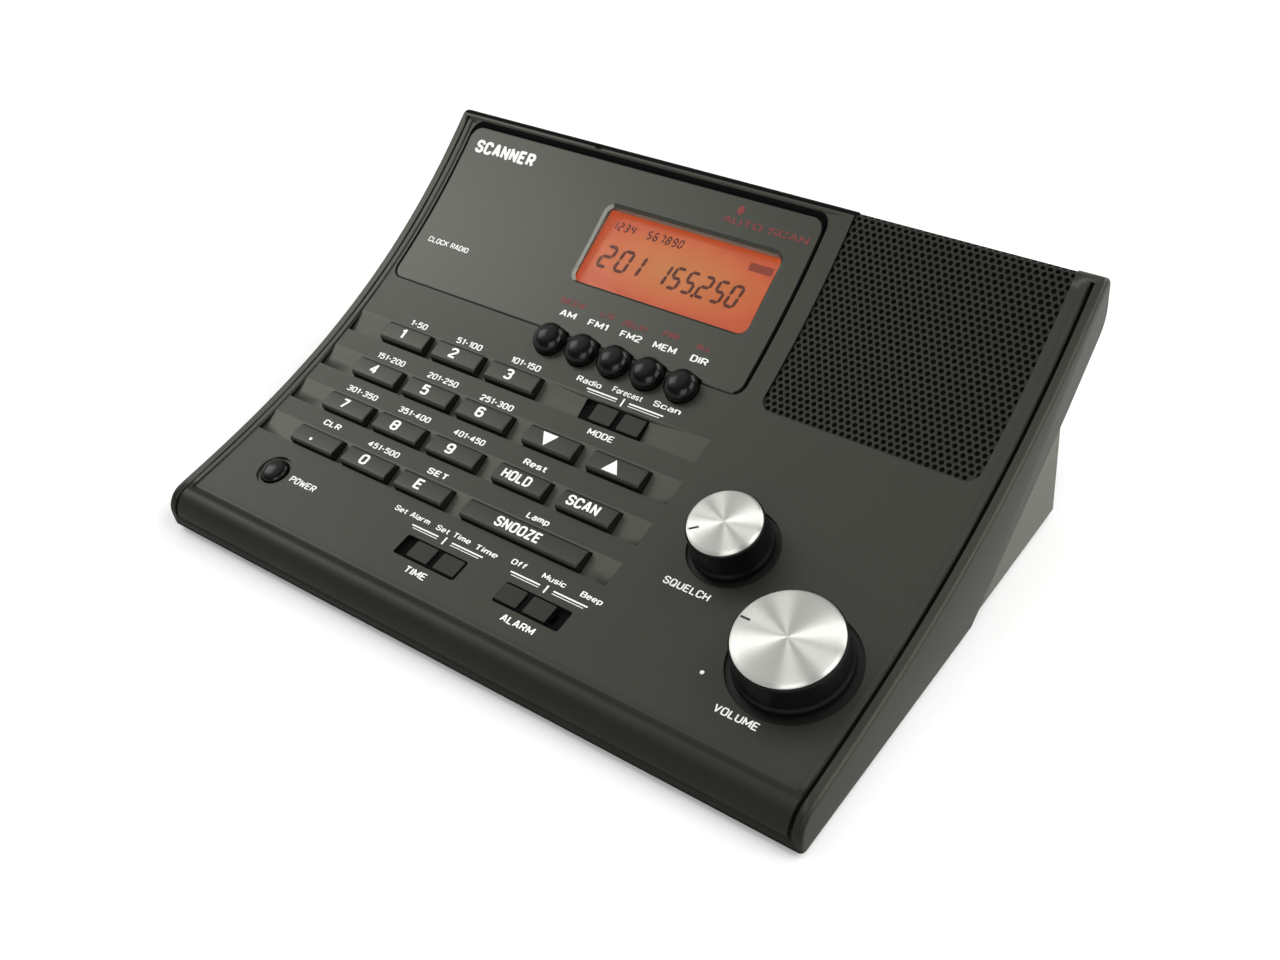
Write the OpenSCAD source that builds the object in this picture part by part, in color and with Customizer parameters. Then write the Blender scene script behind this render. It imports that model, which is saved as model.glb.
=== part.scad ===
// Desktop radio scanner with clock functions.
// Wedge-shaped two-piece case with a curved control panel, keypad, display,
// perforated speaker grille, slide switches and two rotary knobs.
// Millimetres. X runs across the case, Y from front to back, Z up.
// The origin is at the middle of the footprint, on the surface the feet stand on.

/* [Case] */
// Overall width of the case
case_w = 230; // [229:0.5:232]
// Thickness of the top cover's panel
panel_t = 3.0; // [2.9:0.05:3.1]
// Thickness of the side walls
side_t = 2.5; // [2.2:0.1:2.6]
// How far the feet stand out under the floor
foot_h = 1.5; // [1:0.25:3]
// Diameter of a rubber foot
foot_d = 12; // [8:0.5:12]

/* [Keypad] */
// Height of a key above the panel
key_proud = 1.9; // [1.2:0.1:2.6]
// Travel of a key
key_travel = 1.0; // [0.6:0.1:1.0]
// Gap between a key and its hole, each side
key_gap = 0.35; // [0.25:0.05:0.4]
// Depth of the finger channel along a key row's front edge
channel_depth = 1.5; // [0.8:0.1:1.8]

/* [Buttons] */
// Diameter of a round band button
band_d = 10.4; // [9.6:0.1:10.6]
// Spacing of the band buttons
band_pitch = 12.48; // [12.3:0.01:12.6]
// Height of a band button above the panel
band_proud = 4.6; // [3:0.1:6]
// Travel of the round buttons
button_travel = 0.8; // [0.4:0.1:0.8]
// Diameter of the power button
power_d = 9; // [8:0.25:9.5]

/* [Slide switches] */
// Length of a slider pad
slider_l = 18.4; // [17:0.1:19]
// Length of a slider's recess
slot_l = 23.3; // [23:0.1:24]

/* [Knobs] */
// Diameter of the volume knob at its foot
vol_d = 31.6; // [28:0.2:32]
// Diameter of the squelch knob at its foot
sql_d = 23.4; // [20:0.2:24]
// Height of the knobs above the panel
knob_h = 12.2; // [10:0.2:15]
// Diameter of the knob shafts
shaft_d = 6; // [5:0.5:6]
// Running clearance round a shaft, each side
shaft_gap = 0.05; // [0.02:0.01:0.1]

/* [Display] */
// Width of the display window
win_w = 65; // [60:0.5:66]
// Height of the display window along the slope
win_h = 27; // [24:0.5:27]

/* [Grille] */
// Diameter of a grille hole
hole_d = 2.2; // [1.5:0.1:2.6]
// Spacing of the grille holes
hole_p = 4.8; // [4:0.1:6]

/* [Connectors] */
// Bore of the earphone jack
phone_bore = 3.6; // [3.5:0.05:3.8]
// Bore of the power jack's mouth
dc_bore = 5.8; // [5.5:0.1:6.4]
// Barrel diameter of the aerial socket
bnc_d = 9.6; // [9.4:0.1:9.8]

/* [Hidden] */
$fn = 48;

// ---- side profile: Y from the nose, Z from the floor of the case ----
nose_y = 0.8;
back_y = 160;
hw = case_w / 2;
function top(y) = let (t = y / 100) 11.69 + 8.42 * t + 6.35 * t * t + 6.85 * t * t * t;
function slope(y) = let (t = y / 100) atan((8.42 + 12.70 * t + 20.55 * t * t) / 100);
function off(y, d) = [y + d * sin(slope(y)), top(y) - d * cos(slope(y))];
function polar(c, r, a) = [c[0] + r * cos(a), c[1] + r * sin(a)];
function rev(v) = [for (i = [len(v) - 1 : -1 : 0]) v[i]];

nose_r = 7.2;  nose_c = [nose_y + nose_r, 5.18];
lip_r = 2.6;   lip_c = [back_y - lip_r, 64.05];
tail_r = 10;   tail_c = [back_y - tail_r, 56.94];
tail_a = -53.3;
crease_back = [138, 35.5];
crease_front = [85, 0];
// a point on the crease line at y, moved up by h
function crease(y, h = 0) = [y, (y - crease_front[0]) * crease_back[1] / (crease_back[0] - crease_front[0]) + h];

outer = concat(
  [for (a = [270 : -30 : 180]) polar([nose_y + 1.5, 1.5], 1.5, a)],
  [for (a = [178 : -10.3 : 96]) polar(nose_c, nose_r, a)],
  [for (y = [9.5 : 3.5 : 154]) off(y, 0)],
  [for (a = [127 : -14 : 0]) polar(lip_c, lip_r, a)],
  [for (a = [0 : -10.66 : tail_a]) polar(tail_c, tail_r, a)],
  [crease_back, crease_front]);

inner = concat(
  [[nose_y + 3, -1]],
  [for (a = [180 : -21 : 96]) polar(nose_c, nose_r - 3, a)],
  [for (y = [10 : 7 : 150]) off(y, panel_t)],
  [[156.4, 62.4], [157.5, 61.3]],
  [for (a = [0 : -13.3 : tail_a]) polar(tail_c, tail_r - 2.4, a)],
  [[136.5, 37.1], [136.5, -1]]);

// ---- key layout: X centre, width, Y centre on the panel ----
key_d = 6.8;
row_y = [84.2, 69.6, 54.9, 40.3];
col_x = [[-84.8, 18.4], [-62.4, 18.8], [-39.4, 19.4], [-12.9, 18.8], [11.6, 19.2]];
chan = [[80.4, 88.4], [65.8, 74.0], [51.1, 59.3], [36.5, 44.8]];
chan_x = [-108.7, 31.3];

// ---- boards: a tilted plane for the controls, another for the display ----
cb_y = 22; cb_z = 5.2; cb_tilt = 13.5;
function bv(y) = (y - cb_y) * cos(cb_tilt) + (top(y) - cb_z) * sin(cb_tilt);
function bn(y) = -(y - cb_y) * sin(cb_tilt) + (top(y) - cb_z) * cos(cb_tilt);
// height of the panel's underside over the control board at y
function bc(y) = let (p = off(y, panel_t)) -(p[0] - cb_y) * sin(cb_tilt) + (p[1] - cb_z) * cos(cb_tilt);

win_x = -9.9; win_y = 131.35;
db_tilt = 28; db_depth = 8.2;
db_y = win_y + db_depth * sin(db_tilt);
db_z = top(win_y) - db_depth * cos(db_tilt);
function dv(y) = (y - db_y) * cos(db_tilt) + (top(y) - db_z) * sin(db_tilt);
function dn(y) = -(y - db_y) * sin(db_tilt) + (top(y) - db_z) * cos(db_tilt);

band_y = 99.7; band_x0 = -11.04;
function band_x(i) = band_x0 + (i - 2) * band_pitch;

pow_x = -89.9; pow_y = 25.2;
mode_p = [-0.95, 83.8]; time_p = [-20.55, 21.8]; alarm_p = [17.15, 21.75];
slide_half = 2.2;
vol_p = [89.7, 38.5]; sql_p = [56.2, 61.9];

fas_x = [-108, 32.4]; fas_y = [102.5, 155.2]; fas_t = 1.6;
gr_x = [38.9, 106.3]; gr_y = 101.6;
spk_x = 72.6; spk_y = 117; spk_tilt = 27;

screw_p = [[-104, 14], [104, 14], [-104, 75], [104, 75], [-104, 127], [104, 127]];
cb_screws = [[-96.8, 33], [-96.8, 77.3], [36, 30], [36, 77.3], [95, 66]];
db_screws = [[-57, -34], [-57, 6], [34, -34], [34, 6]];
mb_screws = [[-94, 80], [94, 84], [-94, 128], [30, 129]];
foot_p = [[-92, 22], [92, 22], [-92, 124], [92, 124]];
bnc_p = [-56, 19]; dc_p = [10, 13]; phone_y = 66; phone_z = 10.6;

// ---- helpers ----
module place() translate([0, -(nose_y + back_y) / 2, foot_h]) children();
// extrudes a side profile (Y, Z) along X
module along_x(x0, x1) translate([x0, 0, 0]) rotate([90, 0, 90]) linear_extrude(x1 - x0) children();
module on_panel(x, y) translate([x, y, top(y)]) rotate([slope(y), 0, 0]) children();
module on_control() translate([0, cb_y, cb_z]) rotate([cb_tilt, 0, 0]) children();
module on_display() translate([0, db_y, db_z]) rotate([db_tilt, 0, 0]) children();
// a strip of panel between two depths
function strip(y0, y1, d0, d1, n = 16) = concat(
  [for (i = [0 : n]) off(y0 + (y1 - y0) * i / n, d0)],
  [for (i = [n : -1 : 0]) off(y0 + (y1 - y0) * i / n, d1)]);
module rrect(w, h, r) {
  square([w - 2 * r, h], center = true);
  square([w, h - 2 * r], center = true);
  for (i = [-1, 1], j = [-1, 1]) translate([i * (w / 2 - r), j * (h / 2 - r)]) circle(r);
}
// upright prism over a rounded outline in plan
module plan_block(x0, x1, y0, y1, r, z0 = -5, z1 = 90)
  translate([(x0 + x1) / 2, (y0 + y1) / 2, z0]) linear_extrude(z1 - z0) rrect(x1 - x0, y1 - y0, r);

// grille outline: along the panel and round the rear top edge
function gpath(y0, d) = concat(
  [for (i = [0 : 15]) off(y0 + (155.3 - y0) * i / 15, d)],
  [for (a = [115 : -23 : 20]) polar(lip_c, lip_r - d, a)]);

module boss(x, y, z0, r) translate([x, y, z0]) cylinder(h = top(y) - panel_t + 1.2 - z0, r = r);

// ---- covers ----
module top_cover() color("dimgray") place() difference() {
  union() {
    difference() {
      along_x(-hw, hw) polygon(outer);
      along_x(-hw + side_t, hw - side_t) polygon(inner);
    }
    // raised ridge inside each side groove
    for (s = [-1, 1]) along_x(s * (hw - 5) - 0.7, s * (hw - 5) + 0.7) polygon(strip(8, 154.5, -0.45, 0.4, 40));
    for (p = screw_p) boss(p[0], p[1], 5.2, 3.6);
    // posts for the control board and the display board
    for (p = cb_screws) intersection() {
      translate([p[0], 0, 0]) on_control() translate([0, bv(p[1]), 0.02]) cylinder(h = 12, r = 2.1);
      along_x(-hw, hw) polygon(concat([[8, -1]], [for (y = [8 : 8 : 104]) off(y, 1.5)], [[104, -1]]));
    }
    for (p = db_screws) translate([p[0], 0, 0]) on_display() translate([0, p[1], 0.02])
      cylinder(h = p[1] < 0 ? 7 : 6.2, r = 2.3);
    // ribs that hold the speaker's rim
    on_panel(spk_x, spk_y) for (a = [45 : 90 : 315]) rotate([0, 0, a]) translate([25.35, -3, -6.5]) cube([1.6, 6, 4.6]);
  }
  // grooves down each side of the panel and over the nose
  for (s = [-1, 1]) along_x(s * (hw - 3.5) - 0.6, s * (hw - 3.5) + 0.6)
    polygon(concat([for (a = [180 : -14 : 96]) polar(nose_c, nose_r + 1, a)], [for (i = [0 : 40]) off(9.5 + 146 * i / 40, -1)],
      [for (i = [40 : -1 : 0]) off(9.5 + 146 * i / 40, 1.1)], [for (a = [96 : 14 : 180]) polar(nose_c, nose_r - 1.1, a)]));
  // finger channels
  for (c = chan) along_x(chan_x[0], chan_x[1])
    polygon([off(c[0], channel_depth), off(c[0], -3), off(c[1], -3), off(c[1], -0.02), off((c[0] + c[1]) / 2, channel_depth * 0.55)]);
  // key holes
  for (r = [0 : 3], c = [0 : 4]) if (!(r == 0 && c > 2) && !(r == 3 && c > 2))
    on_control() translate([col_x[c][0], bv(row_y[r]), 6]) cube([col_x[c][1] + 2 * key_gap, key_d + 2 * key_gap, 12], center = true);
  on_control() translate([-0.6, bv(row_y[3]), 6]) cube([43.6 + 2 * key_gap, key_d + 2 * key_gap, 12], center = true);
  // fascia recess and the openings under it
  intersection() {
    along_x(fas_x[0], fas_x[1]) polygon(strip(fas_y[0] - 6, fas_y[1] + 0.6, -3, fas_t + 0.2));
    plan_block(fas_x[0], fas_x[1], fas_y[0], fas_y[1], 4);
  }
  on_panel(win_x, win_y) translate([0, 0, -6]) linear_extrude(8) rrect(win_w + 5.5, win_h + 5, 3);
  for (i = [0 : 4]) on_display() translate([band_x(i), dv(band_y), 4]) cylinder(h = 9, d = band_d + 0.6);
  // grille recess and the sound opening
  intersection() {
    along_x(gr_x[0], gr_x[1]) polygon(concat(gpath(gr_y - 6, -3), rev(gpath(gr_y - 6, 1.6))));
    plan_block(gr_x[0], gr_x[1], gr_y, 175, 4);
  }
  intersection() {
    along_x(gr_x[0] + 3, gr_x[1] - 3) polygon(strip(gr_y + 3, 146, -1, 5));
    plan_block(gr_x[0] + 3, gr_x[1] - 3, gr_y + 3, 146, 5);
  }
  // power button
  on_panel(pow_x, pow_y) translate([0, 0, -0.8]) cylinder(h = 3, d = power_d + 2.4);
  on_control() translate([pow_x, bv(pow_y), 2]) cylinder(h = 9, d = power_d + 0.5);
  // slide switch recesses and their stem slots
  for (p = [time_p, alarm_p]) slide_cut(p);
  slide_cut(mode_p);
  // knob wells and shaft holes
  on_panel(vol_p[0], vol_p[1]) { translate([0, 0, -1.1]) cylinder(h = 4, d = vol_d + 4); translate([0, 0, -8]) cylinder(h = 12, d = 9.2); }
  on_panel(sql_p[0], sql_p[1]) { translate([0, 0, -1.1]) cylinder(h = 4, d = sql_d + 3); translate([0, 0, -8]) cylinder(h = 12, d = 9.2); }
  // thumb notch in the rear lip
  translate([-55.6, lip_c[0], lip_c[1] + lip_r]) cube([2.6, 3, 1.2], center = true);
  // screw pilots
  for (p = screw_p) translate([p[0], p[1], 0]) cylinder(h = p[1] < 20 ? 9 : 16, r = 1.45);
  for (p = cb_screws) translate([p[0], 0, 0]) on_control() translate([0, bv(p[1]), -1]) cylinder(h = 3.9, r = 1.0);
  for (p = db_screws) translate([p[0], 0, 0]) on_display() translate([0, p[1], -1]) cylinder(h = 5, r = 1.0);
  // hole in the side wall for the earphone jack
  translate([-hw - 1, phone_y, phone_z]) rotate([0, 90, 0]) cylinder(h = 5, r = 3.2);
}

module slide_cut(p) on_panel(p[0], p[1]) {
  translate([0, 0, -1.4]) linear_extrude(4) rrect(slot_l, 7.3, 0.8);
  translate([-8.2, -1.6, -5]) cube([16.4, 3.2, 5]);
}

module bottom_cover() color("gray") place() difference() {
  union() {
    translate([-hw + side_t + 0.2, 4.1, 0]) cube([case_w - 2 * side_t - 0.4, 132, 2.2]);
    // inset rear wedge: two side walls and the rear wall, with a tongue inside the top cover
    for (s = [-1, 1]) {
      along_x(s > 0 ? hw - 3.7 : -hw + 1.4, s > 0 ? hw - 1.4 : -hw + 3.7)
        polygon([[85.3, 0], [137.5, 0], crease(137.5, -0.1), crease(86, -0.1)]);
      along_x(s > 0 ? hw - 4.2 : -hw + 2.7, s > 0 ? hw - 2.7 : -hw + 4.2)
        polygon([[85.3, 0.5], [136.3, 0.5], crease(136.3, 1.7), crease(85.3, 1.7)]);
    }
    along_x(-hw + 1.4, hw - 1.4) polygon([[135.1, 0], [137.5, 0], crease(137.5, -0.1), crease(135.1, -0.1)]);
    along_x(-hw + 2.7, hw - 2.7) polygon([[135.1, 30], [136.3, 30], [136.3, 36.2], [135.1, 36.2]]);
    // bosses for the case screws and standoffs for the main board
    for (p = screw_p) translate([p[0], p[1], 1]) cylinder(h = 4.1, r = 4.4);
    for (p = mb_screws) translate([p[0], p[1], 1]) cylinder(h = 3.98, r = 2.8);
  }
  for (p = screw_p) translate([p[0], p[1], -1]) { cylinder(h = 3.6, r = 3.3); cylinder(h = 8, r = 1.6); }
  for (p = mb_screws) translate([p[0], p[1], 1.8]) cylinder(h = 8, r = 1.0);
  for (p = foot_p) translate([p[0], p[1], -1]) cylinder(h = 1.6, d = foot_d);
  // cooling slots in the floor
  for (i = [0 : 7]) translate([-52 + 9 * i, 60, -1]) cube([2.4, 34, 4]);
  // rear wall holes
  translate([bnc_p[0], 130, bnc_p[1]]) rotate([-90, 0, 0]) cylinder(h = 10, r = 5.2);
  translate([dc_p[0], 130, dc_p[1]]) rotate([-90, 0, 0]) cylinder(h = 10, r = 4.3);
}

module fascia_panel() color("dimgray") place() difference() {
  intersection() {
    along_x(fas_x[0] + 0.2, fas_x[1] - 0.8) polygon(strip(fas_y[0] - 2, fas_y[1] - 1.2, 0.2, fas_t + 0.12));
    plan_block(fas_x[0] + 0.2, fas_x[1] - 0.8, fas_y[0] + 0.2, fas_y[1] - 1.3, 3.8);
  }
  on_panel(win_x, win_y) translate([0, 0, -4]) linear_extrude(8) rrect(win_w, win_h, 3);
  on_panel(win_x, win_y) translate([0, 0, -5]) linear_extrude(4) rrect(win_w + 3.4, win_h + 3.2, 4);
  for (i = [0 : 4]) on_display() translate([band_x(i), dv(band_y), 4]) cylinder(h = 9, d = band_d + 0.6);
}

module lcd_window() color([0.9, 0.55, 0.3, 0.4]) place()
  on_panel(win_x, win_y) translate([0, 0, -1.85]) linear_extrude(0.8) rrect(win_w + 3, win_h + 2.8, 3.8);

module speaker_grille() color("dimgray") place() difference() {
  intersection() {
    along_x(gr_x[0] + 0.1, gr_x[1] - 0.1) polygon(concat(gpath(gr_y - 1, 0.6), rev(gpath(gr_y - 1, 1.52))));
    plan_block(gr_x[0] + 0.1, gr_x[1] - 0.1, gr_y + 0.1, 175, 3.9);
  }
  for (j = [0 : 11], i = [0 : 11])
    on_panel(gr_x[0] + 6.5 + (i + (j % 2) / 2) * hole_p, gr_y + 4.4 + j * hole_p * 0.86) translate([0, 0, -3]) cylinder(h = 4, d = hole_d, $fn = 24);
}

// ---- display ----
module lcd_glass() color([0.8, 0.5, 0.25]) place() on_display() translate([win_x, 0, 3.05]) {
  translate([-33.5, -13.75, 0]) cube([67, 27.5, 0.95]);
  translate([-33.5, -12.75, 0.95]) cube([67, 26.5, 0.95]);
}
module lcd_light_guide() color("white") place() on_display() translate([win_x - 33.5, -13.75, 0.05]) cube([67, 27.5, 2.98]);
module lcd_frame() color("white") place() on_display() translate([win_x, 0, 0.05]) difference() {
  translate([-36.5, -15.6, 0]) cube([73, 31.2, 3.6]);
  translate([-33.7, -13.95, -1]) cube([67.4, 27.9, 6]);
}

// ---- keys ----
// Cap with a flange under the panel and a short post over the membrane's dome.
module key_shape(x, w, y) color([0.33, 0.34, 0.31]) place() on_control() {
  let (n0 = min(bc(y - 4.4), bc(y), bc(y + 4.4)) - 0.12, c = bv(y), h = key_d / 2) {
    along_x(x - w / 2, x + w / 2) polygon([[c - h, n0 - 0.4], [c + h, n0 - 0.4],
      [c + h, bn(y + h) + key_proud - 0.7], [c + h - 0.7, bn(y + h - 0.7) + key_proud - 0.05],
      [c, bn(y) + key_proud], [c - h + 0.7, bn(y - h + 0.7) + key_proud - 0.05], [c - h, bn(y - h) + key_proud - 0.7]]);
    translate([x - w / 2 - 0.9, c - h - 0.8, n0 - 0.8]) cube([w + 1.8, key_d + 1.6, 0.8]);
    translate([x - 2, c - 2, 2.1]) cube([4, 4, n0 - 2.1]);
  }
}
module key_at(c, r) key_shape(col_x[c][0], col_x[c][1], row_y[r]);
module key_1() key_at(0, 0);
module key_2() key_at(1, 0);
module key_3() key_at(2, 0);
module key_4() key_at(0, 1);
module key_5() key_at(1, 1);
module key_6() key_at(2, 1);
module key_7() key_at(0, 2);
module key_8() key_at(1, 2);
module key_9() key_at(2, 2);
module key_dot() key_at(0, 3);
module key_0() key_at(1, 3);
module key_enter() key_at(2, 3);
module key_down() key_at(3, 1);
module key_up() key_at(4, 1);
module key_hold() key_at(3, 2);
module key_scan() key_at(4, 2);
module key_snooze() key_shape(-0.6, 43.6, row_y[3]);

// ---- round buttons ----
module dome(d, h, crown) rotate_extrude() polygon(concat([[0, 0], [d / 2, 0], [d / 2, h - crown - 0.4]],
  [for (a = [0 : 15 : 90]) [(d / 2 - 0.4) * cos(a) + 0.4 * cos(a), h - crown - 0.4 + (crown + 0.4) * sin(a)]]));

module band_button(i) color([0.06, 0.06, 0.06]) place() on_display() translate([band_x(i), dv(band_y), 4.4]) {
  cylinder(h = 0.7, d = band_d + 1.4);
  dome(band_d, dn(band_y) - 4.4 + band_proud, 2.3);
}
module band_button_1() band_button(0);
module band_button_2() band_button(1);
module band_button_3() band_button(2);
module band_button_4() band_button(3);
module band_button_5() band_button(4);

module power_button() color([0.06, 0.06, 0.06]) place() on_control() translate([pow_x, bv(pow_y), 3.8]) {
  cylinder(h = 0.5, d = power_d + 1.4);
  dome(power_d, bn(pow_y) - 3.8 + 1.5, 1.5);
}

// ---- sliders: two finger pads with a notch between, and a stem into the switch ----
module slider(p, dx) color([0.1, 0.1, 0.1]) place() on_panel(p[0] + dx, p[1]) {
  translate([0, 0, -1.3]) linear_extrude(1.2) rrect(slider_l, 6.6, 0.6);
  for (s = [-1, 1]) translate([s * (slider_l / 4 + 0.5), 0, -0.2]) linear_extrude(0.8) rrect(slider_l / 2 - 1.2, 6.0, 0.6);
  translate([-2.2, -1.3, -4.6]) cube([4.4, 2.6, 4]);
}
module mode_slider() slider(mode_p, slide_half);
module time_slider() slider(time_p, slide_half);
module alarm_slider() slider(alarm_p, -slide_half);

// ---- knobs ----
module knob(p, d) color([0.05, 0.05, 0.05]) place() on_panel(p[0], p[1]) rotate_extrude()
  polygon([[shaft_d / 2, 1.6], [shaft_d / 2 + 2.5, 1.6], [shaft_d / 2 + 2.5, 6], [d / 2 - 2, 6], [d / 2 - 2, 0.5],
    [d / 2 - 0.3, 0.5], [d / 2, 0.8], [d / 2, 2.6], [d / 2 - 0.7, 3.4], [d / 2 - 0.8, knob_h - 1.3], [d / 2 - 1.3, knob_h - 0.9],
    [d / 2 - 1.35, knob_h - 0.9], [d / 2 - 1.35, knob_h - 1.2], [shaft_d / 2, knob_h - 1.2]]);
module knob_disc(p, d, a) color("silver") place() on_panel(p[0], p[1]) difference() {
  rotate_extrude() polygon([[0, knob_h - 1.2], [d / 2 - 1.35, knob_h - 1.2], [d / 2 - 1.35, knob_h - 0.6], [d / 2 - 2.1, knob_h],
    [0, knob_h - 0.04]]);
  // pointer notch in the rim
  rotate([0, 0, a]) translate([d / 2 - 2.4, 0, knob_h]) cube([3.6, 1.0, 0.9], center = true);
}
module shaft(p) color("silver") place() on_panel(p[0], p[1]) translate([0, 0, -9.4]) cylinder(h = knob_h - 1.2 + 9.4, d = shaft_d);
module pot(p) color("slategray") place() on_panel(p[0], p[1]) difference() {
  union() {
    translate([0, 0, -10.6]) cylinder(h = 7.4, d = 16.4);
    translate([0, 0, -4]) cylinder(h = 4.4, d = 8.8);
    // fixing nut
    translate([0, 0, -0.38]) cylinder(h = 1.6, d = 11.4, $fn = 6);
    translate([-5, -11.5, -9.5]) cube([10, 5, 3]);
  }
  translate([0, 0, -9.7]) cylinder(h = 14, d = shaft_d + 2 * shaft_gap);
}
module volume_knob() knob(vol_p, vol_d);
module volume_knob_disc() knob_disc(vol_p, vol_d, 180);
module volume_shaft() shaft(vol_p);
module squelch_knob() knob(sql_p, sql_d);
module squelch_knob_disc() knob_disc(sql_p, sql_d, 218);
module squelch_shaft() shaft(sql_p);
module volume_pot() pot(vol_p);
module squelch_pot() pot(sql_p);

// ---- boards ----
module keypad_membrane() color([0.75, 0.75, 0.72]) place() on_control() difference() {
  union() {
    translate([-99, bv(35.2), 0.02]) cube([131.2, bv(89.2) - bv(35.2), 0.78]);
    for (r = [0 : 3], c = [0 : 4]) if (!(r == 0 && c > 2) && !(r == 3 && c > 2))
      translate([col_x[c][0], bv(row_y[r]), 0.5]) cylinder(h = 0.5, r = 3);
    translate([-0.6, bv(row_y[3]), 0.5]) cylinder(h = 0.5, r = 3);
  }
  // cut away round the posts and the mode switch
  for (p = cb_screws) translate([p[0], bv(p[1]), -1]) cylinder(h = 4, r = 2.6);
  translate([mode_p[0], bv(mode_p[1]) + 2, 0]) cube([30, 16, 6], center = true);
}

module control_board() color("darkgreen") place() on_control() difference() {
  translate([-99.4, -4, -1.6]) cube([198.8, bv(92) + 4, 1.6]);
  for (p = cb_screws) translate([p[0], bv(p[1]), -3]) cylinder(h = 5, r = 1.15);
  for (p = [vol_p, sql_p]) translate([p[0], bv(p[1]) + 1, -0.8]) cube([21, 27, 4], center = true);
  // notches for the case bosses
  for (s = [-1, 1]) translate([s * 104, bv(75) - 3, -0.8]) cube([14, 14, 4], center = true);
}

module display_board() color("darkgreen") place() on_display() difference() {
  translate([-62, -41, -1.6]) cube([100, 57, 1.6]);
  for (p = db_screws) translate([p[0], p[1], -3]) cylinder(h = 5, r = 1.15);
}

module main_board() color("darkgreen") place() difference() {
  translate([-100, 60, 5]) cube([197, 73.5, 1.6]);
  for (p = mb_screws) translate([p[0], p[1], 3]) cylinder(h = 5, r = 1.15);
  for (s = [-1, 1], y = [75, 127]) translate([s * 104, y, 5]) cylinder(h = 6, r = 8.2, center = true);
}

// ---- speaker ----
module on_speaker() translate([spk_x, 0, 0]) on_panel(0, spk_y) translate([0, 0, -3.2]) children();
module speaker_frame() color("silver") place() on_speaker() rotate_extrude()
  polygon([[25, 0], [25, -1.2], [21.5, -1.2], [11.6, -7.6], [11.6, -8.6], [4.2, -8.6], [4.2, -7.8], [10.6, -7.8], [10.6, -7], [20.8, -0.5], [22.5, -0.5], [22.5, 0]]);
module speaker_cone() color([0.08, 0.08, 0.08]) place() on_speaker() rotate_extrude()
  polygon([[0, -4.6], [3.6, -5.3], [6, -5.9], [17.8, -1.4], [19.4, -0.4], [21.4, -0.25], [21.4, -0.05], [19.2, -0.05], [17.4, -0.9],
    [6, -5.4], [3.4, -4.9], [0, -4.2]]);
module speaker_magnet() color("dimgray") place() on_speaker() difference() {
  translate([0, 0, -13]) cylinder(h = 4.38, r = 10);
  translate([0, 0, -14]) cylinder(h = 8, r = 3);
}

// ---- switches and connectors ----
module slide_switch_bodies() color([0.08, 0.08, 0.08]) place() for (p = [mode_p, time_p, alarm_p]) on_panel(p[0], p[1]) difference() {
  translate([-9.5, -3.2, p[1] > 50 ? -6.2 : -7.4]) cube([19, 6.4, p[1] > 50 ? 3.0 : 4.2]);
  translate([-8.2, -1.6, -4.9]) cube([16.4, 3.2, 4]);
}
module tact_switches() color([0.15, 0.15, 0.15]) place() {
  on_control() translate([pow_x, bv(pow_y), 0.02]) { translate([-3, -3, 0]) cube([6, 6, 2.3]); cylinder(h = 2.9, r = 1.7); }
  for (i = [0 : 4]) on_display() translate([band_x(i), dv(band_y), 0.02]) { translate([-3, -3, 0]) cube([6, 6, 2.6]); cylinder(h = 3.5, r = 1.7); }
}

module antenna_connector() color("silver") place() translate([bnc_p[0], 137.5, bnc_p[1]]) rotate([-90, 0, 0]) {
  difference() {
    union() {
      cylinder(h = 10.8, d = bnc_d);
      translate([0, 0, 0.02]) cylinder(h = 1.6, d = 14.4, $fn = 6);
      translate([0, 0, -2.4]) cylinder(h = 3, r = 5.1);
      translate([0, 0, -6.4]) cylinder(h = 3.98, d = 14, $fn = 6);
      // bayonet lugs
      for (s = [-1, 1]) translate([0, 0, 7.4]) rotate([90, 0, 0]) translate([0, 0, s > 0 ? 4 : -5.8]) cylinder(h = 1.8, r = 1);
      translate([0, 0, -10.4]) cylinder(h = 5, r = 2.2);
    }
    translate([0, 0, 2.5]) cylinder(h = 10, r = 4.05);
  }
  translate([0, 0, 2]) cylinder(h = 6, r = 2.4);
  translate([0, 0, 2]) cylinder(h = 8, r = 0.7);
}

module dc_jack() color([0.08, 0.08, 0.08]) place() translate([dc_p[0], 137.5, dc_p[1]]) rotate([-90, 0, 0]) {
  difference() {
    union() {
      cylinder(h = 2.36, r = 4.2, center = false);
      translate([0, 0, -2.4]) cylinder(h = 3, r = 4.2);
      translate([-4.5, -5, -13.4]) cube([9, 11.4, 10.98]);
    }
    translate([0, 0, -3]) cylinder(h = 8, d = dc_bore);
    translate([0, 0, -10]) cylinder(h = 9, r = 2.6);
  }
  translate([0, 0, -11]) cylinder(h = 7.5, r = 1.0);
}

module phone_jack() color([0.08, 0.08, 0.08]) place() difference() {
  union() {
    translate([-hw + side_t + 0.1, phone_y - 4.2, 6.62]) cube([12, 8.4, 8.2]);
    translate([-hw, phone_y, phone_z]) rotate([0, 90, 0]) cylinder(h = 4, r = 3.1);
  }
  translate([-hw - 1, phone_y, phone_z]) rotate([0, 90, 0]) cylinder(h = 13, d = phone_bore);
}

module tuner_shield() color("silver") place() difference() {
  translate([-76, 92, 6.62]) cube([44, 32, 7.4]);
  translate([-75.5, 92.5, 5]) cube([43, 31, 8.5]);
}

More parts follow.
